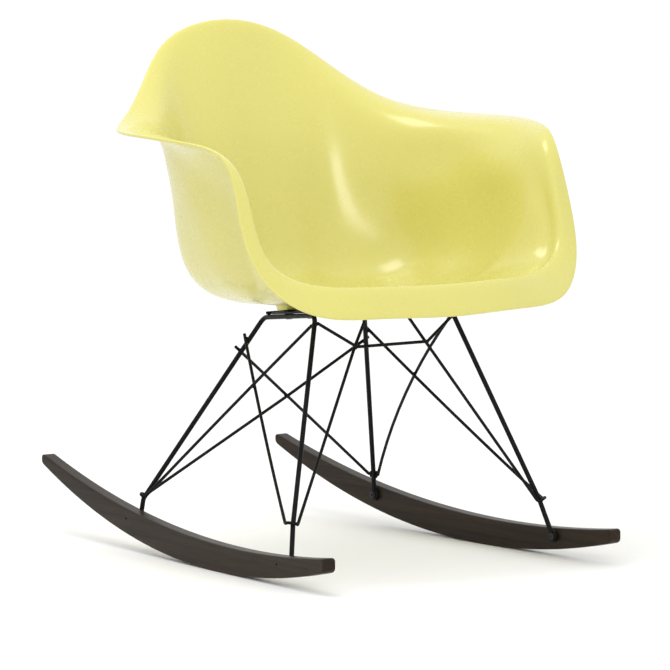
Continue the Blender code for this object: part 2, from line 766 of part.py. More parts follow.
# ---- small parts ---------------------------------------------------------
def build_seat_fixings(steel, rubber, brass):
    for name, place, up in mounts():
        frame = frame_at(place, up)
        bore = SCREW_RADIUS + GAP
        profile = ((bore, PAD_LOW), (PAD_RADIUS, PAD_LOW), (PAD_RADIUS, PAD_TOP), (bore, PAD_TOP))
        turned(f"mount_pad_{name}", profile, frame, 28, rubber, closed=True)
        low = BOSS_LOW
        high = BOSS_LOW + INSERT_LENGTH
        profile = ((bore, low), (INSERT_RADIUS, low), (INSERT_RADIUS, high), (bore, high))
        turned(f"threaded_insert_{name}", profile, frame, 20, brass, closed=True)
        high = BAR_LOW - GAP
        low = high - WASHER_THICK
        profile = ((bore, low), (WASHER_RADIUS, low), (WASHER_RADIUS, high), (bore, high))
        turned(f"mount_washer_{name}", profile, frame, 24, steel, closed=True)
        head_top = low - GAP
        head_low = head_top - SCREW_HEAD_HEIGHT
        soft = SCREW_HEAD_RADIUS * 0.8
        profile = ((0.0, head_low), (soft, head_low), (SCREW_HEAD_RADIUS, head_low + 0.0012),
                   (SCREW_HEAD_RADIUS, head_top), (SCREW_RADIUS, head_top),
                   (SCREW_RADIUS, BOSS_LOW + INSERT_LENGTH * 0.9), (0.0, BOSS_LOW + INSERT_LENGTH * 0.9))
        turned(f"mount_screw_{name}", profile, frame, 20, steel)


def build_rocker_fixings(steel, brass):
    for side, hand in ((-1, "right"), (1, "left")):
        axis = rocker_place(side).to_3x3() @ Vector((side, 0.0, 0.0))
        for eye, where in ((rear_eye(), "rear"), (front_eye(), "front")):
            face = rocker_place(side) @ Vector((0.0, *eye))
            frame = frame_at(face, axis, (0.0, 0.0, 1.0))
            seat = -(EYE_THICK + 2.0 * GAP)
            low = seat - BOLT_HEAD_HEIGHT
            shank_end = NUT_LENGTH * 0.85
            profile = ((0.0, low), (BOLT_HEAD_RADIUS * 0.6, low),
                       (BOLT_HEAD_RADIUS, seat - BOLT_HEAD_HEIGHT * 0.35), (BOLT_HEAD_RADIUS, seat),
                       (BOLT_RADIUS, seat), (BOLT_RADIUS, shank_end), (0.0, shank_end))
            turned(f"rocker_bolt_{where}_{hand}", profile, frame, 20, steel)
            bore = BOLT_RADIUS + GAP
            profile = ((bore, GAP), (NUT_RADIUS, GAP), (NUT_RADIUS, NUT_LENGTH), (bore, NUT_LENGTH))
            turned(f"rocker_insert_{where}_{hand}", profile, frame, 20, brass, closed=True)


def main():
    for obj in list(bpy.data.objects):
        bpy.data.objects.remove(obj, do_unlink=True)
    plastic = material("moulded_plastic", (0.78, 0.72, 0.16), 0.35)
    steel = material("coated_steel", (0.015, 0.015, 0.017), 0.4, 0.4)
    wood = material("stained_wood", (0.045, 0.032, 0.023), 0.45)
    rubber = material("black_rubber", (0.02, 0.02, 0.02), 0.8)
    brass = material("plain_brass", (0.6, 0.45, 0.2), 0.35, 1.0)
    build_shell(plastic)
    for side, hand in ((-1, "right"), (1, "left")):
        build_rocker(side, hand, wood)
        build_side_rod(side, hand, steel)
        build_front_brace(side, hand, steel)
        build_rear_brace(side, hand, steel)
        build_bar(side, hand, steel)
    build_ties(steel)
    build_seat_fixings(steel, rubber, brass)
    build_rocker_fixings(steel, brass)


main()
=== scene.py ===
"""Looks of the rocking armchair, laid out as an add-on.

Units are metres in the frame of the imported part: the chair faces -Y, up is +Z
and the floor is z = 0.  The right-hand side of a sitter is -X.
"""

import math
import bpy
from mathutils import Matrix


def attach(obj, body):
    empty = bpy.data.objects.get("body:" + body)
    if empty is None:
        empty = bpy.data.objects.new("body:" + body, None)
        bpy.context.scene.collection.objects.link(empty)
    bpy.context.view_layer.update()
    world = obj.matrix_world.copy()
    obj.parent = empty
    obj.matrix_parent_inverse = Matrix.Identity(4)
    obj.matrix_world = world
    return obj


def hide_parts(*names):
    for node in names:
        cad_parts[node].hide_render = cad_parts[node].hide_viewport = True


bl_info = {
    "name": "Rocking Armchair",
    "version": (1, 0, 0),
    "blender": (4, 5, 0),
    "location": "View3D > Sidebar > Rocking Armchair",
    "description": "Builds the finished surfaces of a moulded rocking armchair",
    "category": "Add Mesh",
}

import bmesh
import bpy
import numpy as np
from bpy.props import FloatProperty, FloatVectorProperty, IntProperty, PointerProperty
from bpy.types import Operator, Panel, PropertyGroup
from mathutils import Matrix, Vector
from mathutils.bvhtree import BVHTree

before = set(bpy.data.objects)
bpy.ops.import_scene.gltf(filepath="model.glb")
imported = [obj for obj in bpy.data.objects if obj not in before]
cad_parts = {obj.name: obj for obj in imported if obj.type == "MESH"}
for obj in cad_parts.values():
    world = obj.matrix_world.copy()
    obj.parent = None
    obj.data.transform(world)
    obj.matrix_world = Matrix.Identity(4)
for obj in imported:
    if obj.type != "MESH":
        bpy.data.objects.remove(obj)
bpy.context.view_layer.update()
BODY = "root"
SIDES = ((-1, "right"), (1, "left"))
AIR = 0.0003               # clearance between neighbouring pieces

# ---- rods: shares of a leg's or rail's length, and small lengths ----------
FRONT_BRACE_AT = 0.875     # where a front brace ends up a rear leg
REAR_BRACE_AT = 0.955      # where a rear brace ends up a front leg
CROSS_BRACE_AT = 0.81      # where a rear brace crosses to the other rear leg
REAR_HOOK_AT = 0.012       # where a rear brace hooks round its own leg
STRETCHER_AT = 0.965       # where the stretcher ends on a front leg
REAR_TIE_AT = 0.10         # where the rear tie lies along a rail
STUB = 0.009               # a brace runs this far past the leg it is welded to
HOOK_SIDE = 0.0110         # widest reach of a front hook beside its leg
FRONT_TIE_HALF = 0.0300    # front braces end this far from the middle plane
TIE_OVERRUN = 0.004
FRONT_BRACE_BOW = (0.0012, 0.0040)       # outward, down
REAR_BRACE_BOW = (0.0105, 0.005, 0.0062)   # inward, back, up
STRETCHER_BEND = 0.010

# ---- fixings --------------------------------------------------------------
MOUNT_AT = ((0.36, "rear"), (0.78, "front"))   # shares of a rail's length
BAR_ENDS = (0.17, 0.92)
BAR_CORNER = 0.0022
WASHER_RADIUS = 0.0068
WASHER_THICK = 0.0015
SCREW_HEAD = (0.0055, 0.0062)            # radius, height
SCREW_KEY = 0.0026
INSERT_RADIUS = 0.0045
INSERT_LENGTH = 0.008
BOLT_HEAD = (0.0052, 0.0028)
BOLT_KEY = 0.0019
NUT_RADIUS = 0.0040
EYE_BORE = 0.0029

# ---- shape of the shell --------------------------------------------------
# Six rings run round the shell from the middle of the front lip to the
# middle of the back.  Each point is (across, along, up): across in half
# widths, along from 0 at the lip to 1 at the back, up from 0 at the lip's
# lower edge to 1 at the top of the back.
RIM = (
    (0.000, 0.000, 0.000), (0.382, 0.022, 0.006), (0.682, 0.070, 0.035),
    (0.836, 0.136, 0.152), (0.878, 0.203, 0.387), (0.888, 0.274, 0.583),
    (0.959, 0.378, 0.626), (1.000, 0.540, 0.639), (0.925, 0.692, 0.642),
    (0.696, 0.836, 0.693), (0.521, 0.916, 0.800), (0.308, 0.986, 0.938),
    (0.000, 1.000, 1.000),
)
ROLL = (
    (0.000, 0.038, 0.093), (0.366, 0.057, 0.098), (0.635, 0.110, 0.119),
    (0.776, 0.155, 0.200), (0.818, 0.207, 0.397), (0.837, 0.282, 0.562),
    (0.880, 0.391, 0.603), (0.840, 0.534, 0.618), (0.763, 0.661, 0.622),
    (0.611, 0.786, 0.652), (0.470, 0.878, 0.745), (0.290, 0.965, 0.892),
    (0.000, 0.984, 0.959),
)
FLARE = (
    (0.000, 0.060, 0.096), (0.352, 0.076, 0.100), (0.612, 0.127, 0.114),
    (0.748, 0.174, 0.178), (0.794, 0.222, 0.350), (0.797, 0.296, 0.490),
    (0.796, 0.404, 0.520), (0.768, 0.534, 0.523), (0.700, 0.655, 0.523),
    (0.552, 0.770, 0.530), (0.415, 0.852, 0.600), (0.240, 0.918, 0.720),
    (0.000, 0.937, 0.770),
)
WALL = (
    (0.000, 0.087, 0.090), (0.336, 0.099, 0.093), (0.580, 0.148, 0.106),
    (0.708, 0.197, 0.155), (0.757, 0.243, 0.291), (0.757, 0.313, 0.369),
    (0.751, 0.417, 0.369), (0.727, 0.534, 0.369), (0.655, 0.660, 0.369),
    (0.520, 0.760, 0.381), (0.372, 0.830, 0.433), (0.189, 0.861, 0.497),
    (0.000, 0.878, 0.523),
)
BEND = (
    (0.000, 0.157, 0.072), (0.290, 0.165, 0.075), (0.504, 0.209, 0.085),
    (0.617, 0.261, 0.106), (0.656, 0.313, 0.137), (0.672, 0.365, 0.144),
    (0.675, 0.443, 0.144), (0.656, 0.539, 0.144), (0.605, 0.652, 0.134),
    (0.470, 0.735, 0.139), (0.325, 0.778, 0.150), (0.159, 0.791, 0.165),
    (0.000, 0.800, 0.170),
)
SEAT = (
    (0.000, 0.287, 0.038), (0.214, 0.296, 0.038), (0.366, 0.322, 0.038),
    (0.458, 0.357, 0.034), (0.498, 0.391, 0.031), (0.519, 0.435, 0.029),
    (0.519, 0.487, 0.028), (0.498, 0.548, 0.022), (0.470, 0.625, 0.020),
    (0.365, 0.685, 0.020), (0.250, 0.715, 0.022), (0.122, 0.722, 0.038),
    (0.000, 0.725, 0.038),
)
SEAT_MIDDLE = (0.000, 0.513, 0.010)
RING_AT = (0.0, 0.32, 0.49, 0.70, 0.85, 0.93, 1.0)


# ---- settings ------------------------------------------------------------
def length(name, default, description):
    return FloatProperty(name=name, description=description, default=default,
                         min=0.0, unit="LENGTH", precision=4)


def place(name, default, description):
    return FloatVectorProperty(name=name, description=description, default=default,
                               size=3, subtype="TRANSLATION", precision=4)


def colour(name, default, description):
    return FloatVectorProperty(name=name, description=description, default=default,
                               size=3, subtype="COLOR", min=0.0, max=1.0)


def factor(name, default, description, high=1.0):
    return FloatProperty(name=name, description=description, default=default,
                         min=0.0, max=high, subtype="FACTOR")


class ShellSettings(PropertyGroup):
    width: length("Width", 0.655, "Across the arms at their widest")
    depth: length("Depth", 0.575, "From the front lip to the back")
    rise: length("Rise", 0.388, "From the lip's lower edge to the top of the back")
    front: FloatProperty(name="Front", description="Where the front lip stands along Y",
                         default=-0.3425, unit="LENGTH")
    base: length("Lip height", 0.372, "Height of the lip's lower edge")
    wall: length("Wall", 0.0045, "Thickness of the moulding")
    boss_radius: length("Boss radius", 0.0165, "Radius of a screw boss at its foot")
    boss_draft: length("Boss draft", 0.0030, "How much wider a boss is at the seat")
    around: IntProperty(name="Faces around", description="Faces round the rim",
                        default=288, min=48, max=600)
    across: IntProperty(name="Faces across", description="Faces from the middle to the rim",
                        default=60, min=12, max=160)
    tint: colour("Plastic colour", (0.600, 0.558, 0.146), "Colour of the moulded plastic")
    roughness: factor("Roughness", 0.27, "Roughness of the moulded plastic")


class RodSettings(PropertyGroup):
    leg_radius: length("Leg radius", 0.0035, "Radius of the bent side rods")
    brace_radius: length("Brace radius", 0.0023, "Radius of the thinner braces")
    leg_bend: length("Leg bend", 0.016, "Bend radius of the side rods")
    brace_bend: length("Brace bend", 0.0045, "Bend radius of the braces")
    rail_rear: place("Rail, rear", (0.0889, 0.0007, 0.3440), "Rear corner of the left rail")
    rail_front: place("Rail, front", (0.1177, -0.1683, 0.3627), "Front corner of the left rail")
    stretcher: place("Stretcher corner", (0.0619, -0.1912, 0.3166), "Left corner of the stretcher")
    rear_kink: place("Rear kink", (0.0028, -0.0035, 0.0277), "Leg bend from the rear eye")
    front_kink: place("Front kink", (0.0129, 0.0140, 0.0515), "Leg bend from the front eye")
    eye_radius: length("Eye radius", 0.0085, "Radius of the flat eyes at the legs' feet")
    eye_thick: length("Eye thickness", 0.0046, "Thickness of the flat eyes")
    tint: colour("Rod colour", (0.0045, 0.0045, 0.0048), "Colour of the powder coat")
    roughness: factor("Roughness", 0.40, "Roughness of the powder coat")


class RockerSettings(PropertyGroup):
    run: length("Length", 0.779, "Length from tip to tip")
    thick: length("Thickness", 0.021, "Thickness of the board")
    spread: length("Spread", 0.2254, "Middle plane to inner face at the floor")
    toe: FloatProperty(name="Toe", description="How far the front ends turn outward",
                       default=math.radians(2.9), subtype="ANGLE")
    contact_y: FloatProperty(name="Contact", description="Where the soles touch the floor",
                             default=-0.1035, unit="LENGTH")
    sole_radius: length("Sole radius", 1.248, "Curve that the chair rocks on")
    top_radius: length("Top radius", 1.950, "Curve of the upper edge")
    top_low_y: FloatProperty(name="Lowest point", description="Lowest point of the upper edge",
                             default=-0.1535, unit="LENGTH")
    middle: length("Middle height", 0.039, "Height of the upper edge at its lowest point")
    tip: length("Tip rounding", 0.0065, "Radius of the corners at the tips")
    edge: length("Edge rounding", 0.0024, "Radius of the long edges")
    stain: colour("Stain", (0.0185, 0.0128, 0.0078), "Colour of the stained wood")
    roughness: factor("Roughness", 0.36, "Roughness of the lacquer")


class FixingSettings(PropertyGroup):
    rear_eye: FloatProperty(name="Rear eye", description="Where the rear leg is bolted",
                            default=0.1430, unit="LENGTH")
    front_eye: FloatProperty(name="Front eye", description="Where the front leg is bolted",
                             default=-0.2680, unit="LENGTH")
    eye_lift: length("Eye lift", 0.004, "Eye above the middle of the rocker")
    mount_inset: length("Screw inset", 0.0106, "Screw axis inboard of the rail")
    bar_width: length("Bar width", 0.022, "Width of the mounting bars")
    bar_thick: length("Bar thickness", 0.003, "Thickness of the mounting bars")
    pad_radius: length("Pad radius", 0.0135, "Radius of the rubber pads")
    pad_thick: length("Pad thickness", 0.002, "Thickness of the rubber pads")
    screw_radius: length("Screw radius", 0.0028, "Shank radius of the seat screws")
    bolt_radius: length("Bolt radius", 0.0026, "Shank radius of the rocker bolts")
    nut_length: length("Insert length", 0.012, "Length of the rocker inserts")
    vent: length("Vent radius", 0.0015, "Small hole on the rockers' outer faces")


class StageSettings(PropertyGroup):
    floor: colour("Floor colour", (0.93, 0.93, 0.93), "Colour of the plain floor")
    sky: factor("Surround", 1.10, "Strength of the white surround", 4.0)
    key: FloatProperty(name="Key light", description="Power of the large light above",
                       default=15.0, min=0.0, unit="POWER")
    fill: FloatProperty(name="Front light", description="Power of the light in front",
                        default=26.0, min=0.0, unit="POWER")


def settings(name):
    return getattr(bpy.context.scene, "armchair_" + name)


# ---- materials -----------------------------------------------------------
def new_material(name, base, roughness, metallic=0.0):
    """A Principled material; the caller adds its pattern."""
    mat = bpy.data.materials.new(name)
    mat.use_nodes = True
    shader = mat.node_tree.nodes["Principled BSDF"]
    shader.inputs["Base Color"].default_value = (*base, 1.0)
    shader.inputs["Roughness"].default_value = roughness
    shader.inputs["Metallic"].default_value = metallic
    return mat, mat.node_tree, shader


def link(tree, source, output, target, socket):
    tree.links.new(source.outputs[output], target.inputs[socket])


def node(tree, kind, **values):
    made = tree.nodes.new(kind)
    for key, value in values.items():
        if key in made.inputs:
            made.inputs[key].default_value = value
        else:
            setattr(made, key, value)
    return made


def noise(tree, vector, scale, detail=2.0, roughness=0.5):
    made = node(tree, "ShaderNodeTexNoise", Scale=scale, Detail=detail, Roughness=roughness)
    tree.links.new(vector, made.inputs["Vector"])
    return made.outputs["Fac"]


def blend_colour(tree, fac, low, high):
    """A colour between two stops, driven by fac."""
    made = node(tree, "ShaderNodeMix", data_type="RGBA")
    tree.links.new(fac, made.inputs[0])
    made.inputs[6].default_value = (*low, 1.0)
    made.inputs[7].default_value = (*high, 1.0)
    return made


def spread(tree, value, low_in, high_in, low_out, high_out):
    made = node(tree, "ShaderNodeMapRange")
    tree.links.new(value, made.inputs["Value"])
    for socket, number in zip(("From Min", "From Max", "To Min", "To Max"),
                              (low_in, high_in, low_out, high_out)):
        made.inputs[socket].default_value = number
    return made.outputs["Result"]


def bumped(tree, shader, height, strength, distance):
    made = node(tree, "ShaderNodeBump", Strength=strength, Distance=distance)
    tree.links.new(height, made.inputs["Height"])
    tree.links.new(made.outputs["Normal"], shader.inputs["Normal"])


def moulded_plastic():
    """Glossy moulded plastic: faint flow clouding, slight waviness, soft light in its depth."""
    cfg = settings("shell")
    mat, tree, shader = new_material("moulded_plastic", cfg.tint, cfg.roughness)
    spot = node(tree, "ShaderNodeTexCoord").outputs["Object"]
    cloud = noise(tree, spot, 5.0, 3.0)
    deep = tuple(c * 0.985 for c in cfg.tint)
    pale = tuple(c * 1.012 for c in cfg.tint)
    mix = blend_colour(tree, spread(tree, cloud, 0.3, 0.7, 0.0, 1.0), deep, pale)
    tree.links.new(mix.outputs[2], shader.inputs["Base Color"])
    rub = noise(tree, spot, 38.0, 4.0, 0.6)
    tree.links.new(spread(tree, rub, 0.3, 0.75, cfg.roughness - 0.015, cfg.roughness + 0.020),
                   shader.inputs["Roughness"])
    peel = noise(tree, spot, 90.0, 1.0)
    bumped(tree, shader, peel, 0.015, 0.0002)
    shader.inputs["Subsurface Weight"].default_value = 0.12
    shader.inputs["Subsurface Radius"].default_value = (1.0, 0.85, 0.25)
    shader.inputs["Subsurface Scale"].default_value = 0.004
    shader.inputs["IOR"].default_value = 1.49
    shader.inputs["Coat Weight"].default_value = 0.30
    shader.inputs["Coat Roughness"].default_value = 0.16
    return mat


def powder_coat(name, tint, roughness):
    """Satin black powder coat over steel, with its fine grain."""
    mat, tree, shader = new_material(name, tint, roughness)
    spot = node(tree, "ShaderNodeTexCoord").outputs["Object"]
    grain = noise(tree, spot, 2600.0, 2.0, 0.6)
    patch = noise(tree, spot, 60.0, 3.0)
    lift = tuple(c * 1.6 + 0.002 for c in tint)
    mix = blend_colour(tree, spread(tree, patch, 0.35, 0.75, 0.0, 1.0), tint, lift)
    tree.links.new(mix.outputs[2], shader.inputs["Base Color"])
    tree.links.new(spread(tree, patch, 0.3, 0.7, roughness - 0.05, roughness + 0.06),
                   shader.inputs["Roughness"])
    bumped(tree, shader, grain, 0.22, 0.00012)
    shader.inputs["Specular IOR Level"].default_value = 0.09
    return mat


def stained_wood(name):
    """Dark stained maple under satin lacquer; the grain follows each board's own length."""
    cfg = settings("rocker")
    mat, tree, shader = new_material(name, cfg.stain, cfg.roughness)
    board = node(tree, "ShaderNodeAttribute", attribute_name="board").outputs["Vector"]
    wide = node(tree, "ShaderNodeMapping")
    wide.inputs["Scale"].default_value = (55.0, 3.2, 95.0)
    tree.links.new(board, wide.inputs["Vector"])
    thin = node(tree, "ShaderNodeMapping")
    thin.inputs["Scale"].default_value = (520.0, 16.0, 820.0)
    tree.links.new(board, thin.inputs["Vector"])
    figure = noise(tree, wide.outputs["Vector"], 1.0, 5.0, 0.62)
    pores = noise(tree, thin.outputs["Vector"], 1.0, 3.0, 0.7)
    dark = tuple(c * 0.58 for c in cfg.stain)
    warm = (cfg.stain[0] * 1.75, cfg.stain[1] * 1.6, cfg.stain[2] * 1.4)
    streak = blend_colour(tree, spread(tree, figure, 0.32, 0.70, 0.0, 1.0), dark, warm)
    fleck = node(tree, "ShaderNodeMix", data_type="RGBA", blend_type="MULTIPLY")
    tree.links.new(spread(tree, pores, 0.52, 0.70, 0.0, 0.65), fleck.inputs[0])
    tree.links.new(streak.outputs[2], fleck.inputs[6])
    fleck.inputs[7].default_value = (0.35, 0.31, 0.27, 1.0)
    worn = node(tree, "ShaderNodeAttribute", attribute_name="worn").outputs["Fac"]
    rubbed = node(tree, "ShaderNodeMix", data_type="RGBA")
    tree.links.new(spread(tree, worn, 0.0, 1.0, 0.0, 0.35), rubbed.inputs[0])
    tree.links.new(fleck.outputs[2], rubbed.inputs[6])
    rubbed.inputs[7].default_value = (0.050, 0.036, 0.024, 1.0)
    tree.links.new(rubbed.outputs[2], shader.inputs["Base Color"])
    tree.links.new(spread(tree, pores, 0.3, 0.75, cfg.roughness - 0.05, cfg.roughness + 0.09),
                   shader.inputs["Roughness"])
    bumped(tree, shader, pores, 0.16, 0.00025)
    shader.inputs["Specular IOR Level"].default_value = 0.13
    return mat


def worked_metal(name, tint, roughness, grain):
    """Plain metal with turning marks and a slight tarnish."""
    mat, tree, shader = new_material(name, tint, roughness, 1.0)
    spot = node(tree, "ShaderNodeTexCoord").outputs["Object"]
    marks = noise(tree, spot, grain, 3.0)
    dull = tuple(c * 0.6 for c in tint)
    mix = blend_colour(tree, spread(tree, marks, 0.3, 0.7, 0.0, 1.0), dull, tint)
    tree.links.new(mix.outputs[2], shader.inputs["Base Color"])
    tree.links.new(spread(tree, marks, 0.3, 0.7, roughness - 0.08, roughness + 0.12),
                   shader.inputs["Roughness"])
    bumped(tree, shader, marks, 0.15, 0.0001)
    return mat


def black_rubber():
    mat, tree, shader = new_material("black_rubber", (0.018, 0.018, 0.018), 0.75)
    spot = node(tree, "ShaderNodeTexCoord").outputs["Object"]
    dust = noise(tree, spot, 420.0, 4.0)
    mix = blend_colour(tree, spread(tree, dust, 0.35, 0.8, 0.0, 1.0), (0.015,) * 3, (0.045,) * 3)
    tree.links.new(mix.outputs[2], shader.inputs["Base Color"])
    bumped(tree, shader, dust, 0.3, 0.0002)
    return mat


def finish_named(name):
    """The material of that name, made on first use."""
    found = bpy.data.materials.get(name)
    if found is not None and found.get("armchair"):
        return found
    rods = settings("rods")
    makers = {
        "moulded_plastic": moulded_plastic,
        "powder_coat": lambda: powder_coat("powder_coat", rods.tint, rods.roughness),
        "blackened_screw": lambda: powder_coat("blackened_screw", (0.020, 0.020, 0.021), 0.33),
        "stained_maple": lambda: stained_wood("stained_maple"),
        "black_rubber": black_rubber,
        "turned_brass": lambda: worked_metal("turned_brass", (0.60, 0.42, 0.17), 0.34, 700.0),
    }
    if found is not None:      # a CAD material of the same name
        found.name = name + "_cad"
    mat = makers[name]()
    mat["armchair"] = True
    return mat


# ---- mesh helpers --------------------------------------------------------
def mesh_object(name, verts, faces, edges=()):
    mesh = bpy.data.meshes.new(name)
    mesh.from_pydata([tuple(v) for v in verts], list(edges), [tuple(f) for f in faces])
    obj = bpy.data.objects.new(name, mesh)
    bpy.context.scene.collection.objects.link(obj)
    return obj


def outward(mesh):
    bm = bmesh.new()
    bm.from_mesh(mesh)
    bmesh.ops.remove_doubles(bm, verts=bm.verts, dist=1e-6)
    bmesh.ops.recalc_face_normals(bm, faces=bm.faces)
    bm.to_mesh(mesh)
    bm.free()


def plain_mesh(obj):
    """Replaces obj by the plain mesh that its modifiers make."""
    graph = bpy.context.evaluated_depsgraph_get()
    mesh = bpy.data.meshes.new_from_object(obj.evaluated_get(graph))
    name = obj.name
    bpy.data.objects.remove(obj, do_unlink=True)
    made = bpy.data.objects.new(name, mesh)
    mesh.name = name
    bpy.context.scene.collection.objects.link(made)
    return made


def smooth(obj, angle):
    for poly in obj.data.polygons:
        poly.use_smooth = True
    obj.data.set_sharp_from_angle(angle=math.radians(angle))


def keep(obj, finish, slot, *nodes):
    """Gives a finished piece its material, rides it and hides the nodes it stands for."""
    obj.data.materials.clear()
    obj.data.materials.append(finish_named(finish))
    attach(obj, BODY)
    if nodes:
        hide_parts(*nodes)
    return obj


def frame_at(origin, axis, across=(0.0, 1.0, 0.0)):
    """A matrix whose Z runs along axis, placed at origin."""
    z = Vector(axis).normalized()
    x = Vector(across).cross(z)
    if x.length < 1e-6:
        x = Vector((1.0, 0.0, 0.0)).cross(z)
    x.normalize()
    rot = Matrix((x, z.cross(x), z)).transposed().to_4x4()
    return Matrix.Translation(Vector(origin)) @ rot


def turned(name, profile, where, sides=32, closed=False):
    """A lathe solid from (radius, height) pairs; closed joins the last to the first."""
    verts, faces, rings = [], [], []
    for radius, height in profile:
        if radius < 1e-9:
            rings.append([len(verts)] * sides)
            verts.append(where @ Vector((0.0, 0.0, height)))
            continue
        start = len(verts)
        for k in range(sides):
            a = 2.0 * math.pi * k / sides
            verts.append(where @ Vector((radius * math.cos(a), radius * math.sin(a), height)))
        rings.append(list(range(start, start + sides)))
    pairs = list(zip(rings[:-1], rings[1:])) + ([(rings[-1], rings[0])] if closed else [])
    for low, high in pairs:
        for k in range(sides):
            n = (k + 1) % sides
            ring = list(dict.fromkeys((low[k], low[n], high[n], high[k])))
            if len(ring) > 2:
                faces.append(ring)
    obj = mesh_object(name, verts, faces)
    outward(obj.data)
    return obj


def rounded(profile, radius, steps=3):
    """A lathe profile with its inner corners rounded."""
    out = [profile[0]]
    for before, here, after in zip(profile[:-2], profile[1:-1], profile[2:]):
        b, h, a = (Vector(p) for p in (before, here, after))
        cut = min(radius, (b - h).length * 0.45, (a - h).length * 0.45)
        start, end = h + (b - h).normalized() * cut, h + (a - h).normalized() * cut
        for k in range(steps + 1):
            t = k / steps
            out.append(tuple(start.lerp(h, t).lerp(h.lerp(end, t), t)))
    out.append(profile[-1])
    return out


def join(name, parts):
    """One object from several plain ones."""
    bm = bmesh.new()
    for part in parts:
        bm.from_mesh(part.data)
    mesh = bpy.data.meshes.new(name)
    bm.to_mesh(mesh)
    bm.free()
    for part in parts:
        bpy.data.objects.remove(part, do_unlink=True)
    obj = bpy.data.objects.new(name, mesh)
    bpy.context.scene.collection.objects.link(obj)
    return obj


def boolean(obj, other, operation):
    mod = obj.modifiers.new(operation.title(), "BOOLEAN")
    mod.operation = operation
    mod.solver = "EXACT"
    mod.object = other
    made = plain_mesh(obj)
    bpy.data.objects.remove(other, do_unlink=True)
    return made


# ---- geometry node trees -------------------------------------------------
def socket(tree, name, kind, default=None, way="INPUT"):
    made = tree.interface.new_socket(name, in_out=way, socket_type=kind)
    if default is not None:
        made.default_value = default
    return made


def new_tree(name):
    tree = bpy.data.node_groups.new(name, "GeometryNodeTree")
    tree.is_modifier = True
    socket(tree, "Geometry", "NodeSocketGeometry")
    socket(tree, "Geometry", "NodeSocketGeometry", way="OUTPUT")
    return tree


def close_tree(tree, geometry):
    """Ends a tree in Realize Instances and Set Material."""
    real = node(tree, "GeometryNodeRealizeInstances")
    paint = node(tree, "GeometryNodeSetMaterial")
    done = node(tree, "NodeGroupOutput")
    start = next(n for n in tree.nodes if n.bl_idname == "NodeGroupInput")
    tree.links.new(geometry, real.inputs["Geometry"])
    tree.links.new(real.outputs["Geometry"], paint.inputs["Geometry"])
    tree.links.new(start.outputs["Finish"], paint.inputs["Material"])
    tree.links.new(paint.outputs["Geometry"], done.inputs["Geometry"])
    return tree


def rod_tree():
    """A round rod along a line of corners, each corner bent to a radius."""
    found = bpy.data.node_groups.get("Bent rod")
    if found:
        return found
    tree = new_tree("Bent rod")
    socket(tree, "Rod radius", "NodeSocketFloat", 0.003)
    socket(tree, "Bend radius", "NodeSocketFloat", 0.01)
    socket(tree, "Sides", "NodeSocketInt", 20)
    socket(tree, "Finish", "NodeSocketMaterial")
    start = node(tree, "NodeGroupInput")
    line = node(tree, "GeometryNodeMeshToCurve")
    bend = node(tree, "GeometryNodeFilletCurve")
    if hasattr(bend, "mode"):
        bend.mode = "POLY"
    bend.inputs["Count"].default_value = 8
    bend.inputs["Limit Radius"].default_value = True
    ring = node(tree, "GeometryNodeCurvePrimitiveCircle", mode="RADIUS")
    tube = node(tree, "GeometryNodeCurveToMesh")
    tube.inputs["Fill Caps"].default_value = True
    link(tree, start, "Geometry", line, "Mesh")
    link(tree, line, "Curve", bend, "Curve")
    link(tree, start, "Bend radius", bend, "Radius")
    link(tree, start, "Sides", ring, "Resolution")
    link(tree, start, "Rod radius", ring, "Radius")
    link(tree, bend, "Curve", tube, "Curve")
    link(tree, ring, "Curve", tube, "Profile Curve")
    return close_tree(tree, tube.outputs["Mesh"])


def bead_tree():
    """A weld bead on every point, stretched along the point's own axis."""
    found = bpy.data.node_groups.get("Weld beads")
    if found:
        return found
    tree = new_tree("Weld beads")
    socket(tree, "Bead radius", "NodeSocketFloat", 0.003)
    socket(tree, "Stretch", "NodeSocketVector", (1.0, 1.0, 1.6))
    socket(tree, "Finish", "NodeSocketMaterial")
    start = node(tree, "NodeGroupInput")
    ball = node(tree, "GeometryNodeMeshIcoSphere")
    ball.inputs["Subdivisions"].default_value = 3
    aim = node(tree, "GeometryNodeInputNamedAttribute", data_type="FLOAT_VECTOR")
    aim.inputs["Name"].default_value = "axis"
    turn = node(tree, "FunctionNodeAlignRotationToVector", axis="Z")
    lay = node(tree, "GeometryNodeInstanceOnPoints")
    link(tree, start, "Bead radius", ball, "Radius")
    tree.links.new(aim.outputs["Attribute"], turn.inputs["Vector"])
    link(tree, start, "Geometry", lay, "Points")
    link(tree, ball, "Mesh", lay, "Instance")
    link(tree, turn, "Rotation", lay, "Rotation")
    link(tree, start, "Stretch", lay, "Scale")
    return close_tree(tree, lay.outputs["Instances"])


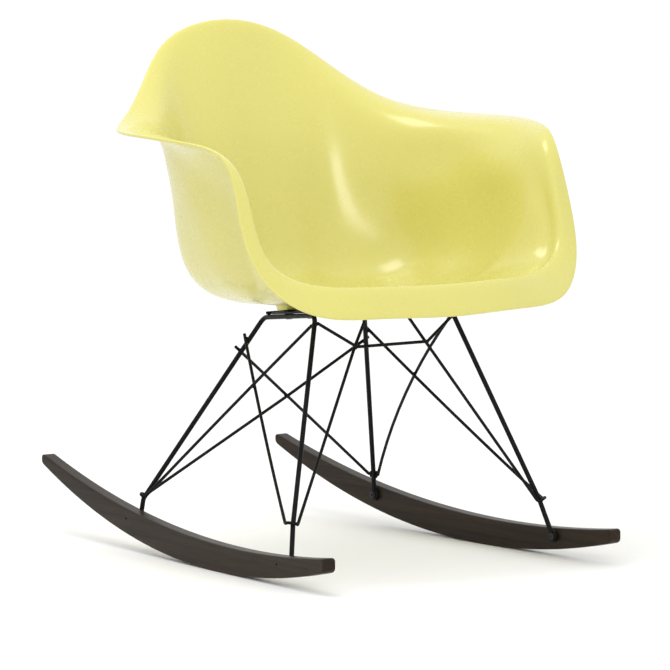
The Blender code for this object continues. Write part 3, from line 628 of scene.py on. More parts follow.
def repeat_tree():
    """One small part set on every point, turned to the point's own axis."""
    found = bpy.data.node_groups.get("Repeated fixing")
    if found:
        return found
    tree = new_tree("Repeated fixing")
    socket(tree, "Part", "NodeSocketObject")
    socket(tree, "Size", "NodeSocketFloat", 1.0)
    socket(tree, "Finish", "NodeSocketMaterial")
    start = node(tree, "NodeGroupInput")
    part = node(tree, "GeometryNodeObjectInfo", transform_space="ORIGINAL")
    aim = node(tree, "GeometryNodeInputNamedAttribute", data_type="FLOAT_VECTOR")
    aim.inputs["Name"].default_value = "axis"
    turn = node(tree, "FunctionNodeAlignRotationToVector", axis="Z")
    lay = node(tree, "GeometryNodeInstanceOnPoints")
    link(tree, start, "Part", part, "Object")
    tree.links.new(aim.outputs["Attribute"], turn.inputs["Vector"])
    link(tree, start, "Geometry", lay, "Points")
    link(tree, part, "Geometry", lay, "Instance")
    link(tree, turn, "Rotation", lay, "Rotation")
    link(tree, start, "Size", lay, "Scale")
    return close_tree(tree, lay.outputs["Instances"])


def run_tree(obj, tree, **values):
    """Adds the tree with its inputs set by identifier, and returns the plain mesh."""
    mod = obj.modifiers.new(tree.name, "NODES")
    mod.node_group = tree
    names = {item.name: item.identifier for item in tree.interface.items_tree
             if item.item_type == "SOCKET" and item.in_out == "INPUT"}
    for name, value in values.items():
        mod[names[name.replace("_", " ")]] = value
    return plain_mesh(obj)


def points_object(name, points, axes):
    obj = mesh_object(name, points, ())
    aim = obj.data.attributes.new("axis", "FLOAT_VECTOR", "POINT")
    aim.data.foreach_set("vector", [c for a in axes for c in a])
    return obj


def rod(name, corners, radius, bend):
    edges = [(k, k + 1) for k in range(len(corners) - 1)]
    line = mesh_object(name, corners, (), edges)
    made = run_tree(line, rod_tree(), Rod_radius=radius, Bend_radius=bend,
                    Sides=24, Finish=finish_named("powder_coat"))
    smooth(made, 50)
    return made


# ---- shell ---------------------------------------------------------------
def spline_through(knots, values, at):
    """Natural cubic spline through the values, read at the wanted places."""
    knots = np.asarray(knots, float)
    values = np.asarray(values, float)
    n = len(knots)
    gap = np.diff(knots)
    slope = np.diff(values, axis=0) / gap[:, None]
    system = np.eye(n)
    right = np.zeros_like(values)
    for i in range(1, n - 1):
        system[i, i - 1] = gap[i - 1]
        system[i, i] = 2.0 * (gap[i - 1] + gap[i])
        system[i, i + 1] = gap[i]
        right[i] = 6.0 * (slope[i] - slope[i - 1])
    bend = np.linalg.solve(system, right)
    at = np.asarray(at, float)
    i = np.clip(np.searchsorted(knots, at, side="right") - 1, 0, n - 2)
    h = gap[i][:, None]
    left = (knots[i + 1] - at)[:, None] / h
    rest = 1.0 - left
    curve = left * values[i] + rest * values[i + 1]
    return curve + ((left ** 3 - left) * bend[i] + (rest ** 3 - rest) * bend[i + 1]) * h * h / 6.0


def to_metres(rows):
    cfg = settings("shell")
    scale = np.array([cfg.width / 2.0, cfg.depth, cfg.rise])
    return np.asarray(rows, float) * scale + np.array([0.0, cfg.front, cfg.base])


def ring_curve(rows, knots, at):
    """A closed ring mirrored about the middle plane, read at the wanted places."""
    half = to_metres(rows)
    whole = np.vstack([half, (half * np.array([-1.0, 1.0, 1.0]))[-2:0:-1]])
    lap = 2.0 * knots[-1]
    places = np.concatenate([knots, lap - knots[-2:0:-1]])
    wide = np.vstack([whole[-6:], whole, whole[:7]])
    wide_at = np.concatenate([places[-6:] - lap, places, places[:7] + lap])
    return spline_through(wide_at, wide, at)


def shell_surface(around, out):
    """Points of the sitting surface, as rows from the middle out to the rim."""
    step = np.linalg.norm(np.diff(to_metres(RIM), axis=0), axis=1)
    knots = np.concatenate([[0.0], np.cumsum(step)])
    at = np.linspace(0.0, 2.0 * knots[-1], around, endpoint=False)
    rings = [ring_curve(rows, knots, at) for rows in (SEAT, BEND, WALL, FLARE, ROLL, RIM)]
    middle = np.repeat(to_metres([SEAT_MIDDLE]), around, axis=0)
    stack = np.stack([middle] + rings)
    surface = np.empty((len(out), around, 3))
    line_at = np.concatenate([-np.array(RING_AT[:0:-1]), RING_AT])
    for k in range(around):
        other = (k + around // 2) % around
        surface[:, k] = spline_through(line_at, np.vstack([stack[:0:-1, other], stack[:, k]]), out)
    return to_metres([SEAT_MIDDLE])[0], surface


def shell_mesh(cfg):
    """The moulding as one closed mesh: sitting side, half-round edge and outer side."""
    even = np.linspace(0.0, 1.0, cfg.across + 1)[1:]
    out = even + 0.06 * np.sin(math.pi * even) * even     # closer rows towards the rim
    centre, grid = shell_surface(cfg.around, np.clip(out, 0.0, 1.0))
    rows, cols, _ = grid.shape
    around = np.roll(grid, -1, axis=1) - np.roll(grid, 1, axis=1)
    outward_step = np.empty_like(grid)
    outward_step[1:-1] = grid[2:] - grid[:-2]
    outward_step[0] = grid[1] - centre
    outward_step[-1] = grid[-1] - grid[-2]
    normal = np.cross(outward_step, around)
    normal /= np.linalg.norm(normal, axis=2, keepdims=True)
    if normal[0, 0, 2] > 0.0:
        normal = -normal
    lip = outward_step[-1] / np.linalg.norm(outward_step[-1], axis=1, keepdims=True)
    half = cfg.wall / 2.0
    edge = []
    for k in range(1, 8):
        a = math.pi * k / 8.0
        edge.append(grid[-1] + normal[-1] * half * (1.0 - math.cos(a)) + lip * half * math.sin(a) * 0.9)
    loops = list(grid) + edge + [grid[r] + normal[r] * cfg.wall for r in range(rows - 1, -1, -1)]
    verts = np.vstack([centre[None]] + loops + [(centre + np.array([0, 0, -cfg.wall]))[None]])
    faces = []
    last = len(verts) - 1
    for k in range(cols):
        n = (k + 1) % cols
        faces.append((0, 1 + k, 1 + n))
        faces.append((last, last - cols + n, last - cols + k))
        for r in range(len(loops) - 1):
            a = 1 + r * cols
            faces.append((a + k, a + cols + k, a + cols + n, a + n))
    shell = mesh_object("shell", verts, faces)
    outward(shell.data)
    return shell


# ---- places that several pieces share ------------------------------------
def sole_height(y):
    cfg = settings("rocker")
    return cfg.sole_radius - math.sqrt(cfg.sole_radius ** 2 - (y - cfg.contact_y) ** 2)


def top_height(y):
    cfg = settings("rocker")
    return cfg.middle + cfg.top_radius - math.sqrt(cfg.top_radius ** 2 - (y - cfg.top_low_y) ** 2)


def rocker_place(side):
    """Board coordinates to the chair's: x outward from the inner face."""
    cfg = settings("rocker")
    shift = Matrix.Translation((side * cfg.spread, cfg.contact_y, 0.0))
    turn = Matrix.Rotation(side * cfg.toe, 4, "Z")
    return shift @ turn @ Matrix.Translation((0.0, -cfg.contact_y, 0.0))


def eyes():
    """(name, y, z) of the two bolted eyes of a leg pair."""
    cfg = settings("fixings")
    for where, y in (("rear", cfg.rear_eye), ("front", cfg.front_eye)):
        yield where, y, (sole_height(y) + top_height(y)) / 2.0 + cfg.eye_lift


def outward_axis(side):
    return rocker_place(side).to_3x3() @ Vector((side, 0.0, 0.0))


def mirrored(point, side):
    return Vector((point[0] * side, point[1], point[2]))


def leg_corners(side):
    """Corner points of a bent side rod from its rear end to its front end."""
    rods = settings("rods")
    centre = {}
    for where, y, z in eyes():
        centre[where] = rocker_place(side) @ Vector((-side * (rods.leg_radius + AIR), y, z))
    rear, front = centre["rear"], centre["front"]
    rear_kink = rear + mirrored(rods.rear_kink, -side)
    front_kink = front + mirrored(rods.front_kink, -side)
    reach = rods.eye_radius * 0.72
    return [rear + (rear_kink - rear).normalized() * reach, rear_kink,
            mirrored(rods.rail_rear, side), mirrored(rods.rail_front, side),
            front_kink, front + (front_kink - front).normalized() * reach]


def rear_leg(side, fraction):
    c = leg_corners(side)
    return c[1].lerp(c[2], fraction), c[2] - c[1]


def front_leg(side, fraction):
    c = leg_corners(side)
    return c[4].lerp(c[3], fraction), c[3] - c[4]


def wrapped_brace(leg_at, leg_dir, end_a, end_b, beside, hook_side=0.0, bow=None):
    """Path of a brace that hooks round a leg and runs on to two ends."""
    leg_dir = leg_dir.normalized()
    arm_a, arm_b = (end_a - leg_at).normalized(), (end_b - leg_at).normalized()
    ahead = arm_a + arm_b
    ahead = (ahead - leg_dir * ahead.dot(leg_dir)).normalized()
    aside = leg_dir.cross(ahead).normalized()
    if aside.dot(arm_a - arm_b) < 0.0:
        aside = -aside
    away = beside * 1.06
    wide = max(away, hook_side)
    hook = [leg_at + aside * wide, leg_at + aside * wide * 0.8 - ahead * away,
            leg_at - aside * away * 0.8 - ahead * away, leg_at - aside * away]
    start = [end_a]
    if bow is not None:
        for k in (0.9, 0.8, 0.7, 0.6, 0.5, 0.4, 0.3, 0.2, 0.1):
            start.append(hook[0].lerp(end_a, k) + bow * 4.0 * k * (1.0 - k))
    return start + hook + [end_b]


def past(start, end, extra):
    return end + (end - start).normalized() * extra


def rail_frame(side):
    rods = settings("rods")
    start, end = mirrored(rods.rail_rear, side), mirrored(rods.rail_front, side)
    along = (end - start).normalized()
    inboard = Vector((-side, 0.0, 0.0))
    inboard = (inboard - along * inboard.dot(along)).normalized()
    up = along.cross(inboard)
    return start, end - start, inboard, (up if up.z > 0.0 else -up)


def mounts():
    """(name, place, axis) of the four seat screws."""
    inset = settings("fixings").mount_inset
    for side, hand in SIDES:
        start, run, inboard, up = rail_frame(side)
        for fraction, where in MOUNT_AT:
            yield f"{where}_{hand}", start + run * fraction + inboard * inset, up


def stack_heights():
    """Heights above the rail's middle: bar, pad and boss."""
    fix, rods = settings("fixings"), settings("rods")
    bar = rods.leg_radius + AIR
    pad = bar + fix.bar_thick + AIR
    return bar, pad, pad + fix.pad_thick + AIR


# ---- operators -----------------------------------------------------------
class ARMCHAIR_OT_shell(Operator):
    """Builds the moulded shell with its rolled edge and four screw bosses"""
    bl_idname = "armchair.shell"
    bl_label = "Moulded Shell"

    def execute(self, context):
        cfg = settings("shell")
        shell = shell_mesh(cfg)
        seen = bmesh.new()
        seen.from_mesh(shell.data)
        tree = BVHTree.FromBMesh(seen)
        seen.free()
        foot = stack_heights()[2]
        sides = 64
        bosses = []
        for name, spot, up in mounts():
            where = frame_at(spot, up)
            rows = []
            for lift, extra in ((0.0, -0.0012), (0.0004, -0.0004), (0.0013, 0.0), (None, 0.0)):
                row = []
                for k in range(sides):
                    a = 2.0 * math.pi * k / sides
                    flat = Vector((math.cos(a), math.sin(a), 0.0))
                    if lift is None:
                        wide = where @ (flat * (cfg.boss_radius + cfg.boss_draft) + Vector((0, 0, foot)))
                        hit = tree.ray_cast(wide, Vector((0.0, 0.0, 1.0)))[0]
                        row.append(hit + Vector((0.0, 0.0, cfg.wall * 0.5)))
                    else:
                        row.append(where @ (flat * (cfg.boss_radius + extra) + Vector((0, 0, foot + lift))))
                rows.append(row)
            verts = [v for row in rows for v in row]
            faces = [list(range(sides))[::-1]]
            for r in range(len(rows) - 1):
                a = r * sides
                faces += [(a + k, a + (k + 1) % sides, a + sides + (k + 1) % sides, a + sides + k)
                          for k in range(sides)]
            top = tree.ray_cast(where @ Vector((0, 0, foot)), Vector((0, 0, 1.0)))[0]
            verts.append(top + Vector((0.0, 0.0, cfg.wall * 0.5)))
            a = (len(rows) - 1) * sides
            faces += [(a + k, a + (k + 1) % sides, len(verts) - 1) for k in range(sides)]
            boss = mesh_object("boss_" + name, verts, faces)
            outward(boss.data)
            bosses.append(boss)
        shell = boolean(shell, join("bosses", bosses), "UNION")
        bores = []
        for name, spot, up in mounts():
            where = frame_at(spot, up)
            wide, deep = INSERT_RADIUS + AIR, foot + INSERT_LENGTH + AIR
            profile = ((0.0, foot - 0.002), (wide, foot - 0.002), (wide, deep), (0.0, deep))
            bores.append(turned("bore_" + name, profile, where, 32))
        shell = boolean(shell, join("bores", bores), "DIFFERENCE")
        shell.name = "shell_moulding"
        smooth(shell, 38)
        keep(shell, "moulded_plastic", "shell_plastic", "seat_shell")
        return {"FINISHED"}


class ARMCHAIR_OT_side_rods(Operator):
    """Bends the two side rods and puts their flat eyes on"""
    bl_idname = "armchair.side_rods"
    bl_label = "Side Rods"

    def execute(self, context):
        rods = settings("rods")
        for side, hand in SIDES:
            parts = [rod("side_path_" + hand, leg_corners(side), rods.leg_radius, rods.leg_bend)]
            for _, y, z in eyes():
                middle = rocker_place(side) @ Vector((-side * (rods.eye_thick + AIR), y, z))
                place_eye = frame_at(middle, outward_axis(side), (0.0, 0.0, 1.0))
                hole, rim, deep = EYE_BORE, rods.eye_radius, rods.eye_thick
                ring = rounded([(hole, deep / 2), (hole, 0.0), (rim, 0.0), (rim, deep),
                                (hole, deep), (hole, deep / 2 + 1e-5)], 0.0009, 4)
                eye = turned("eye", ring, place_eye, 48, closed=True)
                smooth(eye, 50)
                parts.append(eye)
            frame_rod = join("side_rod_" + hand + "_coated", parts)
            smooth(frame_rod, 50)
            keep(frame_rod, "powder_coat", "rod_steel", "side_rod_" + hand)
        return {"FINISHED"}


class ARMCHAIR_OT_braces(Operator):
    """Hooks the front and rear braces round the legs, with the stretcher and ties"""
    bl_idname = "armchair.braces"
    bl_label = "Braces and Ties"

    def execute(self, context):
        rods = settings("rods")
        beside = rods.leg_radius + rods.brace_radius + AIR
        thin = rods.brace_radius
        lines = brace_lines(beside, thin)
        for name, path in lines.items():
            bend = STRETCHER_BEND if name == "front_stretcher" else rods.brace_bend
            piece = rod(name + "_coated", path, thin, bend)
            keep(piece, "powder_coat", "rod_steel", name)
        lines["side_rod_right"] = leg_corners(-1)
        lines["side_rod_left"] = leg_corners(1)
        spots, axes = weld_places(lines, rods.leg_radius, thin)
        points = points_object("weld_beads", spots, axes)
        beads = run_tree(points, bead_tree(), Bead_radius=thin * 1.02, Stretch=(1.0, 1.0, 1.7),
                         Finish=finish_named("powder_coat"))
        smooth(beads, 60)
        keep(beads, "powder_coat", "rod_steel")
        return {"FINISHED"}


def front_tie_point(beside):
    """Where the front tie rod rests outside the left rod's front bend."""
    rods = settings("rods")
    corner = Vector(rods.rail_front)
    a = (Vector(rods.rail_rear) - corner).normalized()
    b = (front_leg(1, 0.0)[0] - corner).normalized()
    half_turn = (math.pi - a.angle(b)) / 2.0
    cut = rods.leg_bend * (1.0 / math.cos(half_turn) - 1.0)
    return corner + (a + b).normalized() * (cut - beside * 1.06)


def brace_lines(beside, thin):
    """Corner points of every thin rod, by the node it stands for."""
    rods = settings("rods")
    lines = {}
    tie = front_tie_point(beside)
    for side, hand in SIDES:
        leg, leg_dir = front_leg(side, 0.0)
        rear_top, rear_dir = rear_leg(side, FRONT_BRACE_AT)
        aside = (leg - rear_top).cross(rear_dir).normalized()
        if aside.x * side < 0.0:
            aside = -aside
        outer = past(leg, rear_top + aside * beside, STUB)
        passing = mirrored(rods.stretcher, side) + Vector((0.0, 2.0 * thin + 2.0 * AIR, 0.0))
        top = Vector((side * FRONT_TIE_HALF, tie.y - 2.0 * thin - 2.0 * AIR, tie.z))
        bow = Vector((side * FRONT_BRACE_BOW[0], 0.0, -FRONT_BRACE_BOW[1]))
        path = wrapped_brace(leg, leg_dir, outer, passing, beside, HOOK_SIDE, bow)
        lines["front_brace_" + hand] = path + [top]
        leg, leg_dir = rear_leg(side, REAR_HOOK_AT)
        front_top, front_dir = front_leg(side, REAR_BRACE_AT)
        back = Vector((0.0, 1.0, 0.0))
        back = (back - front_dir * (back.dot(front_dir) / front_dir.length_squared)).normalized()
        long_end = front_top + back * beside * 1.1
        other, other_dir = rear_leg(-side, CROSS_BRACE_AT)
        behind = (other - leg).cross(other_dir).normalized()
        if behind.y < 0.0:
            behind = -behind
        cross_end = past(leg, other + behind * beside, STUB)
        bow = Vector((-side * REAR_BRACE_BOW[0], *REAR_BRACE_BOW[1:]))
        path = wrapped_brace(leg, leg_dir, long_end, cross_end, beside, 0.0, bow)
        start = path[-2]
        middle = start.lerp(cross_end, start.x / (start.x - cross_end.x))
        path.insert(-1, middle + behind * (side * (thin + AIR)))
        lines["rear_brace_" + hand] = path
    rear = Vector(rods.rail_rear).lerp(Vector(rods.rail_front), REAR_TIE_AT) + Vector((0, 0, beside * 1.03))
    for name, spot in (("front_tie_rod", tie), ("rear_tie_rod", rear)):
        half = spot.x + TIE_OVERRUN
        lines[name] = [Vector((-half, spot.y, spot.z)), Vector((half, spot.y, spot.z))]
    ends = [front_leg(side, STRETCHER_AT)[0] + Vector((0.0, -beside * 1.02, 0.0)) for side in (-1, 1)]
    corners = [mirrored(rods.stretcher, side) for side in (-1, 1)]
    lines["front_stretcher"] = [ends[0], corners[0], corners[1], ends[1]]
    return lines


def nearest_on_segments(a, b, c, d):
    """The closest points of segments ab and cd."""
    u, v, w = b - a, d - c, a - c
    uu, uv, vv, uw, vw = u.dot(u), u.dot(v), v.dot(v), u.dot(w), v.dot(w)
    det = uu * vv - uv * uv
    s = min(1.0, max(0.0, (uv * vw - vv * uw) / det)) if det > 1e-12 else 0.5
    t = min(1.0, max(0.0, (uv * s + vw) / vv))
    s = min(1.0, max(0.0, (uv * t - uw) / uu))
    return a + u * s, c + v * t


def weld_places(lines, thick, thin):
    """Middle and direction of the bead at each place where two rods meet."""
    radius = {name: thick if name.startswith("side_rod") else thin for name in lines}
    spots, axes = [], []
    names = sorted(lines)
    for i, one in enumerate(names):
        for two in names[i + 1:]:
            reach = radius[one] + radius[two] + 0.0024
            for a, b in zip(lines[one][:-1], lines[one][1:]):
                for c, d in zip(lines[two][:-1], lines[two][1:]):
                    p, q = nearest_on_segments(a, b, c, d)
                    if (p - q).length > reach:
                        continue
                    share = radius[one] / (radius[one] + radius[two])
                    middle = p.lerp(q, share)
                    if all((middle - s).length > 0.006 for s in spots):
                        spots.append(middle)
                        first, second = (b - a).normalized(), (d - c).normalized()
                        if first.dot(second) < 0.0:
                            second = -second
                        axes.append((first + second).normalized())
    return spots, axes


class ARMCHAIR_OT_rockers(Operator):
    """Shapes the two stained rockers with rounded edges and tips"""
    bl_idname = "armchair.rockers"
    bl_label = "Rockers"

    def execute(self, context):
        cfg = settings("rocker")
        fix = settings("fixings")
        half = cfg.run / 2.0
        near = [cfg.tip * (1.0 - math.cos(math.pi / 2.0 * k / 9.0)) for k in range(1, 10)]
        count = 150
        body = [cfg.tip + (cfg.run - 2.0 * cfg.tip) * k / count for k in range(1, count)]
        stations = [0.0003] + near + body + [cfg.run - d for d in reversed(near)] + [cfg.run - 0.0003]
        upright, flat, arc = 7, 5, 5
        for side, hand in SIDES:
            verts, loops = [], []
            for d in stations:
                y = -half + d
                inset = cfg.tip - min(d, cfg.run - d)
                drop = cfg.tip - math.sqrt(max(0.0, cfg.tip ** 2 - max(0.0, inset) ** 2))
                ease = cfg.edge - min(d, cfg.run - d)
                slim = cfg.edge - math.sqrt(max(0.0, cfg.edge ** 2 - max(0.0, ease) ** 2))
                low, high = sole_height(y) + drop, top_height(y) - drop
                x0, x1 = slim, cfg.thick - slim
                loops.append(board_section(x0, x1, low, high, cfg.edge, upright, flat, arc))
            ring = len(loops[0])
            for d, loop in zip(stations, loops):
                verts += [(side * x, -half + d, z) for x, z in loop]
            faces = [list(range(ring)), list(range(len(verts) - ring, len(verts)))[::-1]]
            for r in range(len(loops) - 1):
                a = r * ring
                faces += [(a + k, a + (k + 1) % ring, a + ring + (k + 1) % ring, a + ring + k)
                          for k in range(ring)]
            board = mesh_object("rocker_board_" + hand, verts, faces)
            outward(board.data)
            cutters = []
            for _, y, z in eyes():
                axis = frame_at((0.0, y, z), (side, 0.0, 0.0), (0.0, 0.0, 1.0))
                wide, deep = NUT_RADIUS + AIR, fix.nut_length + AIR
                profile = ((0.0, -0.002), (wide, -0.002), (wide, deep), (fix.vent, deep),
                           (fix.vent, cfg.thick - 0.0006), (fix.vent + 0.0008, cfg.thick + 0.0002),
                           (fix.vent + 0.0008, cfg.thick + 0.002), (0.0, cfg.thick + 0.002))
                cutters.append(turned("bore", profile, axis, 32))
            board = boolean(board, join("rocker_bores", cutters), "DIFFERENCE")
            mark_board(board, side)
            board.data.transform(rocker_place(side))
            board.name = "rocker_" + hand + "_wood"
            smooth(board, 35)
            keep(board, "stained_maple", "rocker_wood", "rocker_" + hand)
        return {"FINISHED"}


def board_section(x0, x1, low, high, edge, upright, flat, arc):
    """A rounded rectangle with the same number of points at every station."""
    r = max(1e-5, min(edge, (x1 - x0) * 0.49, (high - low) * 0.49))
    points = []
    for (cx, cz), first, (sx, sz), steps in (
            ((x1 - r, low + r), -90.0, (0.0, 1.0), upright),
            ((x1 - r, high - r), 0.0, (-1.0, 0.0), flat),
            ((x0 + r, high - r), 90.0, (0.0, -1.0), upright),
            ((x0 + r, low + r), 180.0, (1.0, 0.0), flat)):
        for k in range(arc + 1):
            a = math.radians(first + 90.0 * k / arc)
            points.append((cx + r * math.cos(a), cz + r * math.sin(a)))
        span = (high - low if sx == 0.0 else x1 - x0) - 2.0 * r
        ex, ez = points[-1]
        for k in range(1, steps):
            points.append((ex + sx * span * k / steps, ez + sz * span * k / steps))
    return points


def mark_board(board, side):
    """Stores each point's place on its board, and how rubbed its edge is."""
    cfg = settings("rocker")
    here = np.empty(len(board.data.vertices) * 3)
    board.data.vertices.foreach_get("co", here)
    here = here.reshape(-1, 3)
    place_on = here * np.array([side, 1.0, 1.0]) + np.array([0.0 if side > 0 else 0.31, 0.0, 0.0])
    spot = board.data.attributes.new("board", "FLOAT_VECTOR", "POINT")
    spot.data.foreach_set("vector", place_on.ravel())
    x = here[:, 0] * side
    low = np.array([sole_height(y) for y in here[:, 1]])
    high = np.array([top_height(y) for y in here[:, 1]])
    side_gap = np.minimum(x, cfg.thick - x)
    rise_gap = np.minimum(here[:, 2] - low, high - here[:, 2])
    near_edge = np.clip(1.0 - np.maximum(side_gap, rise_gap) / (cfg.edge * 1.2), 0.0, 1.0)
    ground = np.clip(1.0 - (here[:, 2] - low) / 0.002, 0.0, 1.0)
    ground *= np.clip(1.0 - np.abs(here[:, 1] - cfg.contact_y) / 0.25, 0.0, 1.0)
    rub = board.data.attributes.new("worn", "FLOAT", "POINT")
    rub.data.foreach_set("value", np.maximum(near_edge * 0.8, ground))


def place_repeated(name, part, spots, axes, finish, slot, nodes):
    """Sets a part on every spot with the repeating tree, and keeps the result."""
    points = points_object(name, spots, axes)
    made = run_tree(points, repeat_tree(), Part=part, Size=1.0, Finish=finish_named(finish))
    bpy.data.objects.remove(part, do_unlink=True)
    smooth(made, 35)
    return keep(made, finish, slot, *nodes)


def socket_head(name, radius, height, shank, run, key, dome):
    """A cap screw pointing up Z from its bearing face, with a six-sided socket."""
    base = -height
    profile = rounded([(0.0, base), (radius * dome, base), (radius, base + height * 0.35),
                       (radius, 0.0), (shank, 0.0), (shank, run), (0.0, run)], 0.0005, 3)
    screw = turned(name, profile, Matrix.Identity(4), 36)
    cutter = turned(name + "_key", ((0.0, base - 0.001), (key, base - 0.001),
                                    (key, base + height * 0.55), (0.0, base + height * 0.7)),
                    Matrix.Identity(4), 6)
    return boolean(screw, cutter, "DIFFERENCE")


class ARMCHAIR_OT_fixings(Operator):
    """Sets the screws, washers, pads, bars, bolts and inserts in their places"""
    bl_idname = "armchair.fixings"
    bl_label = "Fixings"

    def execute(self, context):
        fix = settings("fixings")
        bar, pad, boss = stack_heights()
        names = [name for name, _, _ in mounts()]
        spots = [spot for _, spot, _ in mounts()]
        ups = [up for _, _, up in mounts()]
        up_here = Matrix.Identity(4)
        bore = fix.screw_radius + AIR
        pad_ring = rounded([(bore, pad + fix.pad_thick / 2), (bore, pad), (fix.pad_radius, pad),
                            (fix.pad_radius, pad + fix.pad_thick), (bore, pad + fix.pad_thick),
                            (bore, pad + fix.pad_thick / 2 + 1e-5)], 0.0005, 3)
        place_repeated("rubber_pads", turned("pad", pad_ring, up_here, 48, closed=True), spots, ups,
                       "black_rubber", "pad_rubber", ["mount_pad_" + n for n in names])
        high = bar - AIR
        low = high - WASHER_THICK
        washer = rounded([(bore, (low + high) / 2), (bore, low), (WASHER_RADIUS, low), (WASHER_RADIUS, high),
                          (bore, high), (bore, (low + high) / 2 + 1e-5)], 0.0003, 3)
        place_repeated("seat_washers", turned("washer", washer, up_here, 40, closed=True), spots, ups,
                       "blackened_screw", "fixing_steel", ["mount_washer_" + n for n in names])
        seat = low - AIR
        screw = socket_head("screw", *SCREW_HEAD, fix.screw_radius, boss + 0.0072 - seat, SCREW_KEY, 0.8)
        screw.data.transform(Matrix.Translation((0.0, 0.0, seat)))
        place_repeated("seat_screws", screw, spots, ups, "blackened_screw", "fixing_steel",
                       ["mount_screw_" + n for n in names])
        tube = rounded([(bore, boss + 0.004), (bore, boss), (INSERT_RADIUS, boss),
                        (INSERT_RADIUS, boss + INSERT_LENGTH), (bore, boss + INSERT_LENGTH),
                        (bore, boss + 0.00401)], 0.0003, 2)
        place_repeated("seat_inserts", turned("tube", tube, up_here, 32, closed=True), spots, ups,
                       "turned_brass", "insert_brass", ["threaded_insert_" + n for n in names])
        for side, hand in SIDES:
            self.mount_bar(side, hand, bar, fix)
        self.rocker_bolts(fix)
        return {"FINISHED"}

    @staticmethod
    def mount_bar(side, hand, low, fix):
        """A flat bar on the rail with rounded corners and edges."""
        start, run, inboard, up = rail_frame(side)
        inner = fix.mount_inset + fix.bar_width / 2.0 - 0.002
        mid = start + run * (sum(BAR_ENDS) / 2.0) + inboard * (inner - fix.bar_width / 2.0)
        along = run.normalized()
        half_run = run.length * (BAR_ENDS[1] - BAR_ENDS[0]) / 2.0
        half_wide, corner = fix.bar_width / 2.0, BAR_CORNER
        outline = []
        for sx, sy, first in ((1, 1, 0), (-1, 1, 90), (-1, -1, 180), (1, -1, 270)):
            for k in range(7):
                a = math.radians(first + 15.0 * k)
                outline.append(((half_run - corner) * sx + corner * math.cos(a),
                                (half_wide - corner) * sy + corner * math.sin(a)))
        count = len(outline)
        verts = [mid + along * x + inboard * y + up * (low + z)
                 for z in (0.0, fix.bar_thick) for x, y in outline]
        faces = [list(range(count)), list(range(count, 2 * count))[::-1]]
        faces += [(k, (k + 1) % count, count + (k + 1) % count, count + k) for k in range(count)]
        bar = mesh_object("mount_bar_" + hand + "_coated", verts, faces)
        outward(bar.data)
        bevel = bar.modifiers.new("Edges", "BEVEL")
        bevel.width = 0.0006
        bevel.segments = 3
        bevel.limit_method = "ANGLE"
        bevel.angle_limit = math.radians(60)
        cutters = []
        for name, spot, axis in mounts():
            if name.endswith(hand):
                radius = fix.screw_radius + AIR
                profile = ((0.0, 0.0), (radius, 0.0), (radius, 0.02), (0.0, 0.02))
                cutters.append(turned("bar_bore", profile, frame_at(spot, axis), 32))
        bar = boolean(bar, join("bar_bores", cutters), "DIFFERENCE")
        smooth(bar, 40)
        keep(bar, "powder_coat", "rod_steel", "mount_bar_" + hand)

    @staticmethod
    def rocker_bolts(fix):
        """Button-head bolts through the eyes, each in its brass insert."""
        rods = settings("rods")
        names, faces, axes = [], [], []
        for side, hand in SIDES:
            for where, y, z in eyes():
                names.append(f"{where}_{hand}")
                faces.append(rocker_place(side) @ Vector((0.0, y, z)))
                axes.append(outward_axis(side))
        seat = -(rods.eye_thick + 2.0 * AIR)
        bolt = socket_head("bolt", *BOLT_HEAD, fix.bolt_radius, fix.nut_length * 0.85 - seat, BOLT_KEY, 0.6)
        bolt.data.transform(Matrix.Translation((0.0, 0.0, seat)))
        place_repeated("rocker_bolts", bolt, faces, axes, "blackened_screw", "fixing_steel",
                       ["rocker_bolt_" + n for n in names])
        bore = fix.bolt_radius + AIR
        ring = [(bore, AIR), (NUT_RADIUS, AIR), (NUT_RADIUS, fix.nut_length), (bore, fix.nut_length)]
        insert = turned("insert", ring, Matrix.Identity(4), 32, closed=True)
        place_repeated("rocker_inserts", insert, faces, axes, "turned_brass", "insert_brass",
                       ["rocker_insert_" + n for n in names])


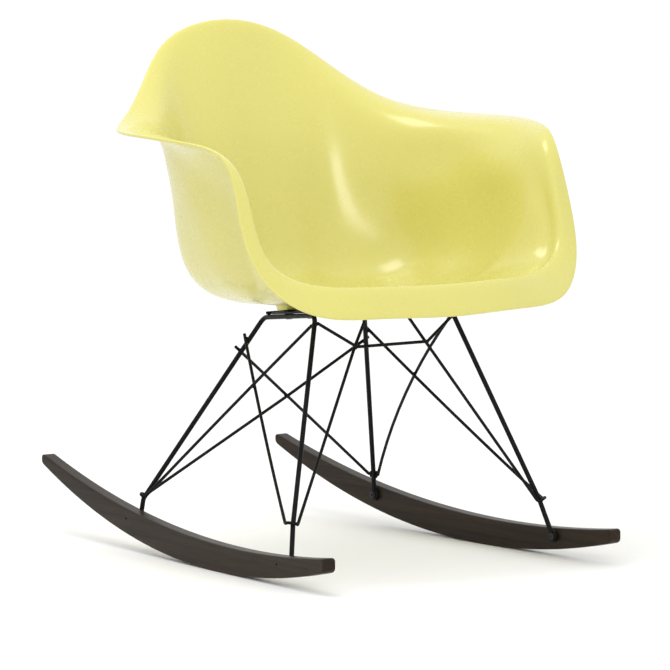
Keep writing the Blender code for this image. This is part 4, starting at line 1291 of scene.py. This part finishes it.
class ARMCHAIR_OT_stage(Operator):
    """Lays the pale floor, sets the soft lights and stands the camera"""
    bl_idname = "armchair.stage"
    bl_label = "Floor, Lights and Camera"

    def execute(self, context):
        cfg = settings("stage")
        scene = context.scene
        ground = mesh_object("floor", [(-20, -20, 0), (20, -20, 0), (20, 20, 0), (-20, 20, 0)],
                             [(0, 1, 2, 3)])
        mat, tree, shader = new_material("pale_floor", cfg.floor, 0.85)
        spot = node(tree, "ShaderNodeTexCoord").outputs["Object"]
        tone = noise(tree, spot, 3.0, 2.0)
        low = tuple(c * 0.985 for c in cfg.floor)
        mix = blend_colour(tree, tone, low, cfg.floor)
        tree.links.new(mix.outputs[2], shader.inputs["Base Color"])
        ground.data.materials.append(mat)
        world = bpy.data.worlds.new("white_room")
        world.use_nodes = True
        world.node_tree.nodes["Background"].inputs["Color"].default_value = (1.0, 1.0, 1.0, 1.0)
        world.node_tree.nodes["Background"].inputs["Strength"].default_value = cfg.sky
        scene.world = world
        scene.view_settings.view_transform = "Standard"
        self.soft_light("overhead", (-0.5, 0.2, 2.4), (0.0, 0.0, 0.4), 1.0, cfg.key)
        self.soft_light("front", (-1.6, -3.6, 1.9), (0.0, 0.0, 0.5), 1.0, cfg.fill)
        self.camera(scene)
        return {"FINISHED"}

    @staticmethod
    def soft_light(name, spot, target, size, power):
        data = bpy.data.lights.new(name, "AREA")
        data.shape = "SQUARE"
        data.size = size
        data.energy = power
        lamp = bpy.data.objects.new(name, data)
        aim = Vector(target) - Vector(spot)
        lamp.rotation_euler = aim.to_track_quat("-Z", "Y").to_euler()
        lamp.location = spot
        bpy.context.scene.collection.objects.link(lamp)

    @staticmethod
    def camera(scene):
        data = bpy.data.cameras.new("camera")
        data.sensor_width = 36.0
        data.lens = 316.95
        data.clip_end = 100.0
        eye = bpy.data.objects.new("camera", data)
        turn, tilt = math.radians(-35.5024), math.radians(6.1531)
        back = Vector((math.sin(turn) * math.cos(tilt), -math.cos(turn) * math.cos(tilt), math.sin(tilt)))
        right = Vector((math.cos(turn), math.sin(turn), 0.0))
        pose = Matrix((right, back.cross(right), back)).transposed().to_4x4()
        pose.translation = Vector((-4.91291773, -6.93781338, 1.22932312))
        eye.matrix_world = pose
        scene.collection.objects.link(eye)
        scene.camera = eye


class ARMCHAIR_PT_panel(Panel):
    """Lists the steps that build the armchair"""
    bl_idname = "ARMCHAIR_PT_panel"
    bl_label = "Rocking Armchair"
    bl_space_type = "VIEW_3D"
    bl_region_type = "UI"
    bl_category = "Rocking Armchair"

    def draw(self, context):
        layout = self.layout
        for name, step in GROUPS:
            box = layout.box()
            group = settings(name)
            for prop in group.bl_rna.properties:
                if prop.identifier not in ("rna_type", "name"):
                    box.prop(group, prop.identifier)
            for operator in step:
                box.operator(operator.bl_idname)


GROUPS = (
    ("shell", (ARMCHAIR_OT_shell,)),
    ("rods", (ARMCHAIR_OT_side_rods, ARMCHAIR_OT_braces)),
    ("rocker", (ARMCHAIR_OT_rockers,)),
    ("fixings", (ARMCHAIR_OT_fixings,)),
    ("stage", (ARMCHAIR_OT_stage,)),
)
SETTINGS = {
    "shell": ShellSettings,
    "rods": RodSettings,
    "rocker": RockerSettings,
    "fixings": FixingSettings,
    "stage": StageSettings,
}
CLASSES = (*SETTINGS.values(), *(step for _, steps in GROUPS for step in steps), ARMCHAIR_PT_panel)


def register():
    for cls in CLASSES:
        bpy.utils.register_class(cls)
    for name, group in SETTINGS.items():
        setattr(bpy.types.Scene, "armchair_" + name, PointerProperty(type=group))


def unregister():
    for name in SETTINGS:
        delattr(bpy.types.Scene, "armchair_" + name)
    for cls in reversed(CLASSES):
        bpy.utils.unregister_class(cls)


def main():
    register()
    bpy.ops.armchair.shell()
    bpy.ops.armchair.side_rods()
    bpy.ops.armchair.braces()
    bpy.ops.armchair.rockers()
    bpy.ops.armchair.fixings()
    bpy.ops.armchair.stage()


if __name__ == "__main__":
    main()
